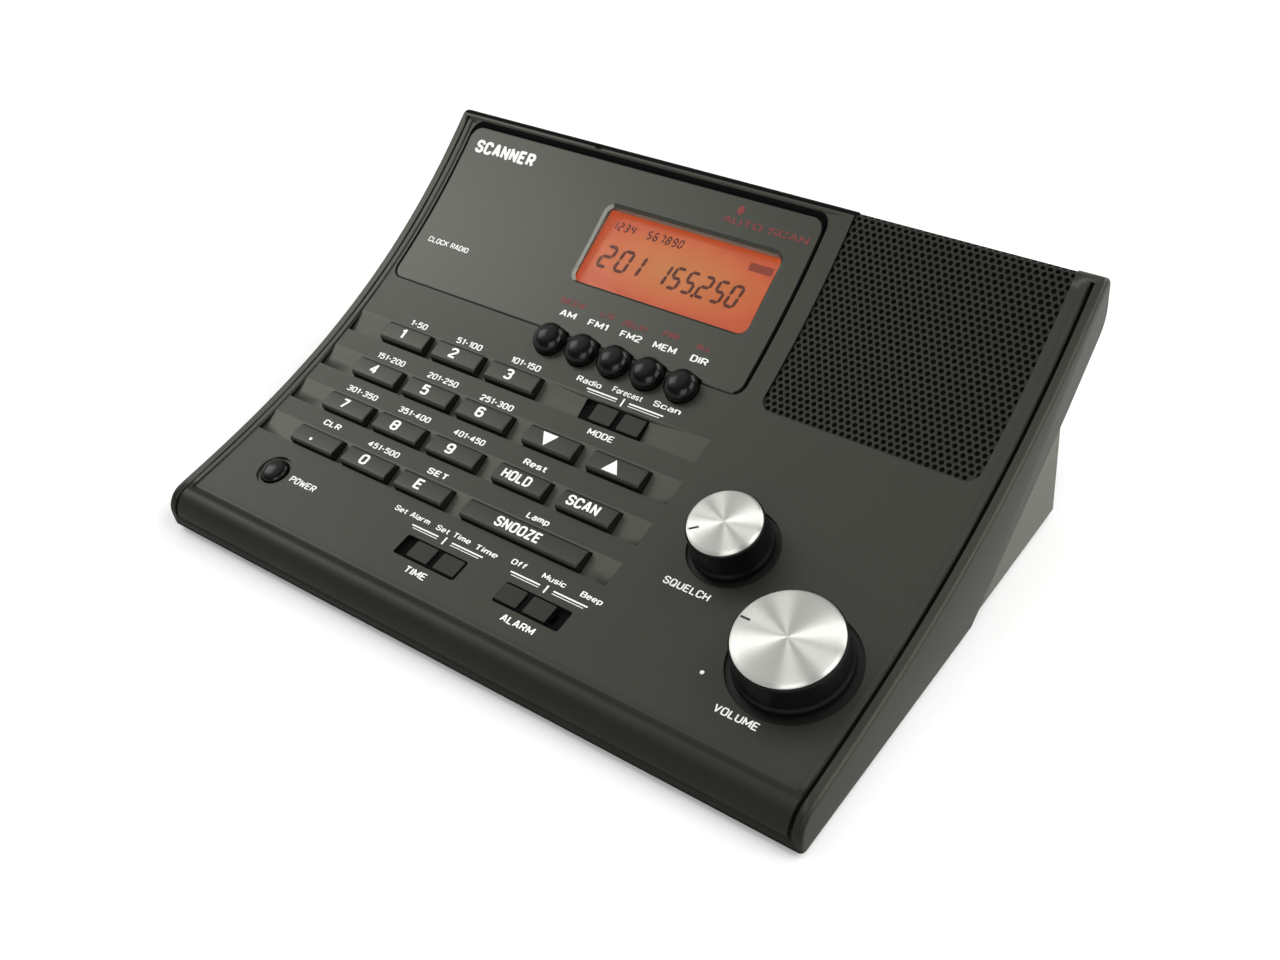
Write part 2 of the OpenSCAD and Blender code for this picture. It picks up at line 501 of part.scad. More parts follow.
module ribbon_cables() color("lightgray") place() {
  // control board to main board
  along_x(-20, 14) polygon([[84, 6.62], [84.6, 6.62], [84.6, 12], [88, 14.8], [88, 18.4], [87.4, 18.4], [87.4, 15.1], [84, 12.3]]);
  // display board to main board
  along_x(-28, 2) polygon([[112, 6.62], [112.6, 6.62], [112.6, 20], [116, 25], [116, 29.4], [115.4, 29.4], [115.4, 25.3], [112, 20.3]]);
}

// ---- fasteners and feet ----
// pan head with a cross recess and a plain shank
module screw(head_r, head_h, shank_r, len) difference() {
  union() { cylinder(h = head_h, r = head_r); translate([0, 0, head_h - 0.01]) cylinder(h = len, r = shank_r); }
  for (a = [0, 90]) rotate([0, 0, a]) cube([head_r * 1.1, 0.5, 1.2], center = true);
}
module case_screws() color("silver") place() for (p = screw_p)
  translate([p[0], p[1], 0.6]) screw(2.9, 2.0, 1.42, p[1] < 20 ? 6 : 12);
module board_screws() color("silver") place() {
  for (p = cb_screws) translate([p[0], 0, 0]) on_control() translate([0, bv(p[1]), -3.02]) screw(2.2, 1.4, 0.98, 4);
  for (p = db_screws) translate([p[0], 0, 0]) on_display() translate([0, p[1], -3.02]) screw(2.2, 1.4, 0.98, 5);
  for (p = mb_screws) translate([p[0], p[1], 8.02]) rotate([180, 0, 0]) screw(2.2, 1.4, 0.98, 4.4);
}
module rubber_feet() color([0.12, 0.12, 0.12]) place() for (p = foot_p) translate([p[0], p[1], 0])
  rotate_extrude() polygon([[0, 0.58], [foot_d / 2 - 0.05, 0.58], [foot_d / 2 - 0.05, -foot_h + 0.5], [foot_d / 2 - 0.55, -foot_h], [0, -foot_h]]);

top_cover();
bottom_cover();
fascia_panel();
speaker_grille();
lcd_window();
lcd_glass();
lcd_light_guide();
lcd_frame();
key_1();
key_2();
key_3();
key_4();
key_5();
key_6();
key_7();
key_8();
key_9();
key_0();
key_dot();
key_enter();
key_down();
key_up();
key_hold();
key_scan();
key_snooze();
band_button_1();
band_button_2();
band_button_3();
band_button_4();
band_button_5();
power_button();
mode_slider();
time_slider();
alarm_slider();
volume_knob();
volume_knob_disc();
volume_shaft();
squelch_knob();
squelch_knob_disc();
squelch_shaft();
keypad_membrane();
control_board();
display_board();
main_board();
speaker_frame();
speaker_cone();
speaker_magnet();
volume_pot();
squelch_pot();
slide_switch_bodies();
tact_switches();
antenna_connector();
dc_jack();
phone_jack();
tuner_shield();
ribbon_cables();
board_screws();
case_screws();
rubber_feet();
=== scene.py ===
import math
import bpy
import bmesh
from mathutils import Vector, Matrix
from mathutils.geometry import delaunay_2d_cdt


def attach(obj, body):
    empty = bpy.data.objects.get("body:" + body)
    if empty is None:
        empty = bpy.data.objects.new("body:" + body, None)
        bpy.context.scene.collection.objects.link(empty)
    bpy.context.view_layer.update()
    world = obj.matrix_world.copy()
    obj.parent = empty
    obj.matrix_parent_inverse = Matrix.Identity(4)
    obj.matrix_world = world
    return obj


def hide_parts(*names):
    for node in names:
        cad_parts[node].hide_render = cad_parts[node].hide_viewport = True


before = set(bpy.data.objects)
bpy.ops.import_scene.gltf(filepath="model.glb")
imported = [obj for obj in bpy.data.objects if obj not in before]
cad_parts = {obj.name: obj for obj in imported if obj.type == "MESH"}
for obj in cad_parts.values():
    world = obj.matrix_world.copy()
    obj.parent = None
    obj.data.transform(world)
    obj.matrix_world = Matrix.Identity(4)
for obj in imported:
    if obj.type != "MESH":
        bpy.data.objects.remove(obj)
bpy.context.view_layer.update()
scene = bpy.context.scene
MM = 0.001
rad = math.radians


# ---------------------------------------------------------------- geometry of the case
def top(y):
    t = y / 100
    return 11.69 + 8.42 * t + 6.35 * t * t + 6.85 * t ** 3


def slope(y):
    t = y / 100
    return math.atan((8.42 + 12.70 * t + 20.55 * t * t) / 100)


def W(x, y, z):
    """Case coordinates in mm to the row frame in metres."""
    return Vector((x, y - 80.4, z + 1.5)) * MM


def off(y, d):
    s = slope(y)
    return y + d * math.sin(s), top(y) - d * math.cos(s)


def pan(x, y, h=0.0):
    py, pz = off(y, -h)
    return W(x, py, pz)


def plane(y0, z0, tilt):
    c, s = math.cos(rad(tilt)), math.sin(rad(tilt))
    return lambda x, v, n: W(x, y0 + v * c - n * s, z0 + v * s + n * c)


ctl = plane(22, 5.2, 13.5)
WIN_X, WIN_Y = -9.9, 131.35
DB_Y = WIN_Y + 8.2 * math.sin(rad(28))
DB_Z = top(WIN_Y) - 8.2 * math.cos(rad(28))
dsp = plane(DB_Y, DB_Z, 28)


def bv(y):
    return (y - 22) * math.cos(rad(13.5)) + (top(y) - 5.2) * math.sin(rad(13.5))


def bn(y):
    return -(y - 22) * math.sin(rad(13.5)) + (top(y) - 5.2) * math.cos(rad(13.5))


def dv(y):
    return (y - DB_Y) * math.cos(rad(28)) + (top(y) - DB_Z) * math.sin(rad(28))


def dn(y):
    return -(y - DB_Y) * math.sin(rad(28)) + (top(y) - DB_Z) * math.cos(rad(28))


COL = [(-84.8, 18.4), (-62.4, 18.8), (-39.4, 19.4), (-12.9, 18.8), (11.6, 19.2)]
ROW = [84.2, 69.6, 54.9, 40.3]
BAND_Y = 99.7
VOL = (89.7, 38.5, 31.6, 180.0)
SQL = (56.2, 61.9, 23.4, 218.6)

# ---------------------------------------------------------------- camera
cam = bpy.data.objects.new("camera", bpy.data.cameras.new("camera"))
scene.collection.objects.link(cam)
scene.camera = cam
cam.data.sensor_width = 36
cam.data.lens = 41.41
az, el, roll = rad(42.49), rad(40.82), rad(-8.83)
back = Vector((math.sin(az) * math.cos(el), -math.cos(az) * math.cos(el), math.sin(el)))
cx = Vector((0, 0, 1)).cross(back).normalized()
cy = back.cross(cx)
c, s = math.cos(roll), math.sin(roll)
rx, ry = c * cx + s * cy, -s * cx + c * cy
M = Matrix((rx, ry, back)).transposed().to_4x4()
M.translation = Vector((0.23165, -0.24251, 0.29605))
cam.matrix_world = M
cam.data.clip_start = 0.01
cam.data.clip_end = 50


# ---------------------------------------------------------------- materials
def lin(*rgb):
    return tuple(((v / 255) / 12.92 if v / 255 < 0.04045 else ((v / 255 + 0.055) / 1.055) ** 2.4) for v in rgb)


class Mat:
    def __init__(self, name):
        self.m = bpy.data.materials.new(name)
        self.m.use_nodes = True
        self.nt = self.m.node_tree
        self.nt.nodes.clear()
        self.out = self.add("ShaderNodeOutputMaterial")
        self.b = self.add("ShaderNodeBsdfPrincipled")
        self.link(self.b.outputs[0], self.out.inputs["Surface"])
        self.tc = self.add("ShaderNodeTexCoord")

    def add(self, kind, **kw):
        n = self.nt.nodes.new(kind)
        for k, v in kw.items():
            setattr(n, k, v)
        return n

    def link(self, a, b):
        self.nt.links.new(a, b)

    def noise(self, scale, detail=3.0, rough=0.55, stretch=None):
        n = self.add("ShaderNodeTexNoise")
        n.inputs["Scale"].default_value = scale
        n.inputs["Detail"].default_value = detail
        n.inputs["Roughness"].default_value = rough
        if stretch:
            mp = self.add("ShaderNodeMapping")
            mp.inputs["Scale"].default_value = stretch
            self.link(self.tc.outputs["Object"], mp.inputs["Vector"])
            self.link(mp.outputs[0], n.inputs["Vector"])
        else:
            self.link(self.tc.outputs["Object"], n.inputs["Vector"])
        return n.outputs["Fac"]

    def ramp(self, fac, stops):
        r = self.add("ShaderNodeValToRGB")
        els = r.color_ramp.elements
        while len(els) < len(stops):
            els.new(0.5)
        for e, (p, col) in zip(els, stops):
            e.position = p
            e.color = (*col, 1)
        self.link(fac, r.inputs[0])
        return r.outputs[0]

    def rangemap(self, fac, a, b, lo=0.3, hi=0.7):
        r = self.add("ShaderNodeMapRange")
        r.inputs["From Min"].default_value = lo
        r.inputs["From Max"].default_value = hi
        r.inputs["To Min"].default_value = a
        r.inputs["To Max"].default_value = b
        self.link(fac, r.inputs["Value"])
        return r.outputs[0]

    def math(self, op, a, b):
        n = self.add("ShaderNodeMath", operation=op)
        for i, v in enumerate((a, b)):
            if isinstance(v, (int, float)):
                n.inputs[i].default_value = v
            else:
                self.link(v, n.inputs[i])
        return n.outputs[0]

    def bump(self, height, strength, dist):
        n = self.add("ShaderNodeBump")
        n.inputs["Strength"].default_value = strength
        n.inputs["Distance"].default_value = dist
        self.link(height, n.inputs["Height"])
        self.link(n.outputs[0], self.b.inputs["Normal"])


def plastic(name, col, rough=0.5, grain=0.45, bump=0.35, depth=0.03, var=0.10, spec=0.5, metallic=0.0, patch=45.0, rvar=0.05, coat=0.0, tint=None):
    m = Mat(name)
    big = m.noise(patch, 4.0)
    fine = m.noise(1000.0 / grain, 2.0)
    mix = m.math("ADD", m.math("MULTIPLY", big, 0.6), m.math("MULTIPLY", fine, 0.4))
    m.link(m.ramp(mix, [(0.30, tuple(v * (1 - var) for v in col)), (0.5, col), (0.70, tuple(min(1, v * (1 + var)) for v in col))]), m.b.inputs["Base Color"])
    m.link(m.rangemap(fine, max(0.02, rough - rvar), rough + rvar), m.b.inputs["Roughness"])
    m.b.inputs["Metallic"].default_value = metallic
    m.b.inputs["Specular IOR Level"].default_value = spec
    if tint:
        m.b.inputs["Specular Tint"].default_value = (*tint, 1)
    if coat:
        m.b.inputs["Coat Weight"].default_value = coat
        m.b.inputs["Coat Roughness"].default_value = 0.06
    if bump:
        m.bump(fine, bump, depth * MM)
    return m.m


CASE = (0.0112, 0.0114, 0.0093)
MATS = {
    "case_plastic": plastic("case_plastic", CASE, rough=0.44, grain=0.40, bump=0.40, depth=0.030, var=0.14, tint=(0.98, 1.0, 0.84)),
    "housing_plastic": plastic("housing_plastic", (0.072, 0.074, 0.058), rough=0.50, grain=0.45, bump=0.4, depth=0.03, tint=(0.98, 1.0, 0.84)),
    "fascia_plastic": plastic("fascia_plastic", (0.0120, 0.0122, 0.0104), rough=0.38, grain=0.36, bump=0.35, depth=0.025, tint=(0.98, 1.0, 0.84)),
    "grille_plastic": plastic("grille_plastic", (0.0125, 0.0127, 0.0105), rough=0.48, grain=0.40, bump=0.3, depth=0.02, tint=(0.98, 1.0, 0.84), spec=0.24),
    "key_plastic": plastic("key_plastic", (0.0105, 0.0107, 0.0090), rough=0.40, spec=0.43, grain=0.35, bump=0.3, depth=0.02, tint=(0.98, 1.0, 0.84)),
    "slider_plastic": plastic("slider_plastic", (0.0060, 0.0061, 0.0052), rough=0.46, grain=0.35, bump=0.3, depth=0.02, spec=0.34, tint=(0.98, 1.0, 0.84)),
    "gloss_black": plastic("gloss_black", (0.0025, 0.0025, 0.0022), rough=0.21, rvar=0.03, grain=0.5, bump=0.10, depth=0.012, spec=0.19),
    "knob_black": plastic("knob_black", (0.0018, 0.0018, 0.0018), rough=0.38, grain=0.5, bump=0.2, depth=0.02, spec=0.13),
    "black_plastic": plastic("black_plastic", (0.012, 0.012, 0.012), rough=0.40),
    "white_plastic": plastic("white_plastic", (0.62, 0.62, 0.58), rough=0.45, var=0.05),
    "silicone": plastic("silicone", (0.42, 0.42, 0.38), rough=0.62, grain=0.8, var=0.07),
    "rubber": plastic("rubber", (0.016, 0.016, 0.016), rough=0.78, grain=0.6, bump=0.6, depth=0.05),
    "steel": plastic("steel", (0.52, 0.52, 0.50), rough=0.30, metallic=1.0, grain=0.6, bump=0.15, depth=0.01),
    "nickel": plastic("nickel", (0.62, 0.60, 0.55), rough=0.24, metallic=1.0, grain=0.7, bump=0.12, depth=0.01),
    "switch_metal": plastic("switch_metal", (0.50, 0.50, 0.48), rough=0.32, metallic=1.0, grain=0.6, bump=0.15, depth=0.01),
    "ferrite": plastic("ferrite", (0.045, 0.045, 0.048), rough=0.55, grain=0.5, bump=0.6, depth=0.05),
    "paper_cone": plastic("paper_cone", (0.020, 0.020, 0.020), rough=0.85, grain=0.9, bump=0.8, depth=0.06),
    "ink": plastic("ink", (0.80, 0.80, 0.77), rough=0.55, grain=0.25, bump=0.2, depth=0.01, var=0.06),
    "ink_red": plastic("ink_red", (0.16, 0.012, 0.012), rough=0.55, grain=0.25, bump=0.2, depth=0.01, var=0.10),
    # painted sheen: a lighter copy of the case plastic for the finger channel floors
    "channel_painted_sheen": plastic("channel_painted_sheen", (0.026, 0.0263, 0.0215), rough=0.46, tint=(0.98, 1.0, 0.84)),
    # painted shade: a duller copy of the case plastic for the side walls
    "side_wall_painted_shade": plastic("side_wall_painted_shade", (0.022, 0.0225, 0.0165), rough=0.5, spec=0.22, tint=(0.98, 1.0, 0.84)),
    # painted shade on the side faces of the keys
    "key_side_painted_shade": plastic("key_side_painted_shade", (0.0035, 0.0035, 0.0030), rough=0.5, spec=0.22, grain=0.5, bump=0.2, depth=0.02),
    # painted shade in the wells round the knobs
    "well_painted_shade": plastic("well_painted_shade", (0.0060, 0.0061, 0.0052), rough=0.5, spec=0.30),
    # near-black: the slide switch bodies' own colour, and painted shade in slots, grooves and gaps
    "black_and_painted_shade": plastic("black_and_painted_shade", (0.0016, 0.0016, 0.0016), rough=0.7, spec=0.06, grain=0.5, bump=0.2, depth=0.02),
    # painted highlight: a light grey for the chamfer at the window's left, where light catches it
    "window_rim_painted_highlight": plastic("window_rim_painted_highlight", (0.20, 0.20, 0.17), rough=0.35, grain=0.5, bump=0.2, depth=0.02),
    # a near-black sheet behind the grille holes: painted shade for the dark inside of the case
    "grille_backing_painted_shade": plastic("grille_backing_painted_shade", (0.004, 0.004, 0.004), rough=0.95, grain=0.3, bump=0.8, depth=0.05, spec=0.1),
}


def circuit_board():
    m = Mat("circuit_board")
    v = m.add("ShaderNodeTexVoronoi", distance="MANHATTAN", feature="DISTANCE_TO_EDGE") if False else m.add("ShaderNodeTexVoronoi", distance="MANHATTAN")
    v.inputs["Scale"].default_value = 220
    m.link(m.tc.outputs["Object"], v.inputs["Vector"])
    m.link(m.ramp(v.outputs["Distance"], [(0.30, (0.010, 0.085, 0.030)), (0.46, (0.016, 0.13, 0.045)), (0.56, (0.008, 0.060, 0.022))]), m.b.inputs["Base Color"])
    m.b.inputs["Roughness"].default_value = 0.35
    m.bump(v.outputs["Distance"], 0.2, 0.03 * MM)
    return m.m


def ribbon():
    m = Mat("ribbon")
    w = m.add("ShaderNodeTexWave", wave_type="BANDS", bands_direction="X")
    w.inputs["Scale"].default_value = 125
    m.link(m.tc.outputs["Object"], w.inputs["Vector"])
    m.link(m.ramp(w.outputs["Fac"], [(0.1, (0.20, 0.20, 0.20)), (0.5, (0.46, 0.46, 0.45)), (0.9, (0.52, 0.52, 0.50))]), m.b.inputs["Base Color"])
    m.b.inputs["Roughness"].default_value = 0.5
    m.bump(w.outputs["Fac"], 0.5, 0.1 * MM)
    return m.m


def aluminium():
    m = Mat("spun_aluminium")
    sep = m.add("ShaderNodeSeparateXYZ")
    m.link(m.tc.outputs["Object"], sep.inputs[0])
    r2 = m.math("ADD", m.math("MULTIPLY", sep.outputs[0], sep.outputs[0]), m.math("MULTIPLY", sep.outputs[1], sep.outputs[1]))
    r = m.math("SQRT", r2, 0.0)
    rings = m.add("ShaderNodeTexNoise", noise_dimensions="1D")
    rings.inputs["Scale"].default_value = 9000
    rings.inputs["Detail"].default_value = 2
    m.link(r, rings.inputs["W"])
    m.link(m.ramp(rings.outputs["Fac"], [(0.30, (0.52, 0.525, 0.485)), (0.5, (0.62, 0.625, 0.58)), (0.7, (0.71, 0.715, 0.665))]), m.b.inputs["Base Color"])
    m.b.inputs["Metallic"].default_value = 1.0
    m.link(m.rangemap(rings.outputs["Fac"], 0.40, 0.48), m.b.inputs["Roughness"])
    m.b.inputs["Anisotropic"].default_value = 0.96
    m.b.inputs["Anisotropic Rotation"].default_value = 0.25
    t = m.add("ShaderNodeTangent", direction_type="RADIAL", axis="Z")
    m.link(t.outputs[0], m.b.inputs["Tangent"])
    m.bump(rings.outputs["Fac"], 0.25, 0.012 * MM)
    return m.m


def lcd():
    m = Mat("lcd")
    sub = m.add("ShaderNodeVectorMath", operation="SUBTRACT")
    sub.inputs[1].default_value = dsp(WIN_X, 0, 4.95)
    m.link(m.tc.outputs["Object"], sub.inputs[0])
    mul = m.add("ShaderNodeVectorMath", operation="MULTIPLY")
    mul.inputs[1].default_value = (1 / 0.0345, 1 / 0.0125, 1 / 0.0125)
    m.link(sub.outputs[0], mul.inputs[0])
    ln = m.add("ShaderNodeVectorMath", operation="LENGTH")
    m.link(mul.outputs[0], ln.inputs[0])
    wob = m.noise(70, 2)
    d = m.math("ADD", ln.outputs["Value"], m.math("MULTIPLY", m.math("SUBTRACT", wob, 0.5), 0.25))
    col = m.ramp(d, [(0.0, lin(196, 122, 62)), (0.55, lin(200, 108, 52)), (0.9, lin(202, 92, 44)), (1.0, lin(196, 80, 40))])
    m.link(col, m.b.inputs["Emission Color"])
    m.b.inputs["Emission Strength"].default_value = 0.84
    m.b.inputs["Base Color"].default_value = (0.05, 0.02, 0.01, 1)
    m.b.inputs["Roughness"].default_value = 0.35
    return m.m


def ink_lcd(name, col, emit):
    m = Mat(name)
    n = m.noise(900, 2)
    m.link(m.ramp(n, [(0.3, tuple(v * 0.85 for v in col)), (0.7, tuple(v * 1.15 for v in col))]), m.b.inputs["Base Color"])
    m.link(m.ramp(n, [(0.3, tuple(v * 0.9 for v in emit)), (0.7, tuple(v * 1.1 for v in emit))]), m.b.inputs["Emission Color"])
    m.b.inputs["Emission Strength"].default_value = 1.0
    m.b.inputs["Roughness"].default_value = 0.5
    return m.m


def window():
    m = Mat("clear_window")
    m.nt.nodes.remove(m.b)
    tr = m.add("ShaderNodeBsdfTransparent")
    gl = m.add("ShaderNodeBsdfGlossy")
    mix = m.add("ShaderNodeMixShader")
    fr = m.add("ShaderNodeFresnel")
    fr.inputs["IOR"].default_value = 1.10
    smudge = m.noise(90, 3)
    m.link(m.rangemap(smudge, 0.03, 0.09), gl.inputs["Roughness"])
    m.link(m.ramp(smudge, [(0.3, (0.94, 0.90, 0.86)), (0.7, (0.97, 0.93, 0.90))]), tr.inputs["Color"])
    m.link(fr.outputs[0], mix.inputs[0])
    m.link(tr.outputs[0], mix.inputs[1])
    m.link(gl.outputs[0], mix.inputs[2])
    m.link(mix.outputs[0], m.out.inputs["Surface"])
    return m.m


def nose_painted_shade(mat):
    """The rolled front of the case gets a lower specular level towards the front, a painted shade that makes it darker
    and duller than the panel.
    """
    nt = mat.node_tree
    b = next(n for n in nt.nodes if n.type == "BSDF_PRINCIPLED")
    tc = next(n for n in nt.nodes if n.type == "TEX_COORD")
    sep = nt.nodes.new("ShaderNodeSeparateXYZ")
    mr = nt.nodes.new("ShaderNodeMapRange")
    mr.inputs["From Min"].default_value = -0.0795
    mr.inputs["From Max"].default_value = -0.0690
    mr.inputs["To Min"].default_value = 0.06
    mr.inputs["To Max"].default_value = 0.46
    nt.links.new(tc.outputs["Object"], sep.inputs[0])
    nt.links.new(sep.outputs[1], mr.inputs["Value"])
    nt.links.new(mr.outputs[0], b.inputs["Specular IOR Level"])


nose_painted_shade(MATS["case_plastic"])
MATS["circuit_board"] = circuit_board()
MATS["ribbon"] = ribbon()
MATS["spun_aluminium"] = aluminium()
MATS["lcd"] = lcd()
MATS["lcd_ink"] = ink_lcd("lcd_ink", (0.03, 0.008, 0.006), lin(62, 16, 12))
MATS["lcd_icon"] = ink_lcd("lcd_icon", (0.05, 0.015, 0.01), lin(120, 42, 30))
MATS["clear_window"] = window()

KEYS = ["key_1", "key_2", "key_3", "key_4", "key_5", "key_6", "key_7", "key_8", "key_9", "key_0", "key_dot", "key_enter", "key_down", "key_up", "key_hold", "key_scan", "key_snooze"]
BANDS = ["band_button_%d" % i for i in range(1, 6)]
NODE_MAT = {
    "top_cover": "case_plastic", "bottom_cover": "housing_plastic", "fascia_panel": "fascia_plastic", "speaker_grille": "grille_plastic",
    "lcd_window": "clear_window", "lcd_glass": "lcd", "lcd_light_guide": "white_plastic", "lcd_frame": "white_plastic",
    "power_button": "gloss_black", "mode_slider": "slider_plastic", "time_slider": "slider_plastic", "alarm_slider": "slider_plastic",
    "volume_knob": "knob_black", "squelch_knob": "knob_black", "volume_knob_disc": "spun_aluminium", "squelch_knob_disc": "spun_aluminium",
    "volume_shaft": "steel", "squelch_shaft": "steel", "keypad_membrane": "silicone", "control_board": "circuit_board",
    "display_board": "circuit_board", "main_board": "circuit_board", "speaker_frame": "steel", "speaker_cone": "paper_cone",
    "speaker_magnet": "ferrite", "volume_pot": "nickel", "squelch_pot": "nickel", "slide_switch_bodies": "black_and_painted_shade",
    "tact_switches": "black_plastic", "antenna_connector": "nickel", "dc_jack": "black_plastic", "phone_jack": "black_plastic",
    "tuner_shield": "nickel", "ribbon_cables": "ribbon", "board_screws": "steel", "case_screws": "steel", "rubber_feet": "rubber",
}
for k in KEYS:
    NODE_MAT[k] = "key_plastic"
for k in BANDS:
    NODE_MAT[k] = "gloss_black"
for name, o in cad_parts.items():
    m = MATS[NODE_MAT[name]]
    if not o.material_slots:
        o.data.materials.append(m)
    for sl in o.material_slots:
        sl.material = m


# ---------------------------------------------------------------- mesh helpers
def finish_piece(name, bm, mats, body, replaces=(), sharp=35.0, matrix=None, weighted=False, smooth=True, panel_normals=False, paint=None):
    bmesh.ops.recalc_face_normals(bm, faces=bm.faces)
    me = bpy.data.meshes.new(name)
    bm.to_mesh(me)
    bm.free()
    for m in mats:
        me.materials.append(MATS[m])
    o = bpy.data.objects.new(name, me)
    scene.collection.objects.link(o)
    if matrix is not None:
        o.matrix_world = matrix
    if smooth:
        me.shade_smooth()
        me.set_sharp_from_angle(angle=rad(sharp))
    if panel_normals:
        cn = [Vector(n.vector) for n in me.corner_normals]
        for f in me.polygons:
            for li in f.loop_indices:
                co = me.vertices[me.loops[li].vertex_index].co
                y = co.y * 1000 + 80.4
                if not 7.0 < y < 157.0:
                    continue
                z = co.z * 1000 - 1.5
                for _ in range(3):
                    s_ = slope(y)
                    h = (z - top(y)) * math.cos(s_)
                    y = co.y * 1000 + 80.4 + h * math.sin(s_)
                n = Vector((0, -math.sin(slope(y)), math.cos(slope(y))))
                if h > -2.2 and 9.0 < y < 155.0 and f.normal.angle(n) < rad(3.5):
                    cn[li] = n
        me.normals_split_custom_set([tuple(n) for n in cn])
    elif weighted:
        w = o.modifiers.new("normals", "WEIGHTED_NORMAL")
        w.keep_sharp = True
        w.weight = 60
    if paint:
        for f in me.polygons:
            k = paint(f)
            if k:
                f.material_index = k
    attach(o, body)
    if replaces:
        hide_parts(*replaces)
    return o


def cad_copy(node, body, rules=(), sharp=33.0, panel_normals=False, paint=None, extra=()):
    bm = bmesh.new()
    bm.from_mesh(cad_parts[node].data)
    bmesh.ops.remove_doubles(bm, verts=bm.verts, dist=3e-6)
    bmesh.ops.dissolve_limit(bm, angle_limit=rad(0.3), use_dissolve_boundaries=False, verts=bm.verts, edges=bm.edges, delimit=set())
    for fn, size, seg in rules:
        es = [e for e in bm.edges if len(e.link_faces) == 2 and e.is_convex and e.calc_face_angle(0) > rad(18) and fn(e)]
        if es:
            bmesh.ops.bevel(bm, geom=es, offset=size * MM, offset_type="OFFSET", segments=seg, profile=0.5, affect="EDGES", clamp_overlap=False)
    bmesh.ops.remove_doubles(bm, verts=bm.verts, dist=2e-6)
    bmesh.ops.dissolve_degenerate(bm, edges=bm.edges, dist=1e-6)
    return finish_piece(node + "_body", bm, [NODE_MAT[node], *extra], body, (node,), sharp, weighted=True, panel_normals=panel_normals, paint=paint)


def slab(bm, pts, tris, fn, h0, h1, mat=0):
    """A closed plate: 2-D points and triangles, laid on the surface fn(u, v, h) between two heights."""
    lo = [bm.verts.new(fn(p[0], p[1], h0)) for p in pts]
    hi = [bm.verts.new(fn(p[0], p[1], h1)) for p in pts]
    edges = {}
    for t in tris:
        f = bm.faces.new([hi[i] for i in t])
        f.material_index = mat
        f = bm.faces.new([lo[i] for i in reversed(t)])
        f.material_index = mat
        for a, b in zip(t, list(t[1:]) + [t[0]]):
            k = (min(a, b), max(a, b))
            edges.setdefault(k, []).append((a, b))
    for k, use in edges.items():
        if len(use) == 1:
            a, b = use[0]
            f = bm.faces.new([hi[b], hi[a], lo[a], lo[b]])
            f.material_index = mat


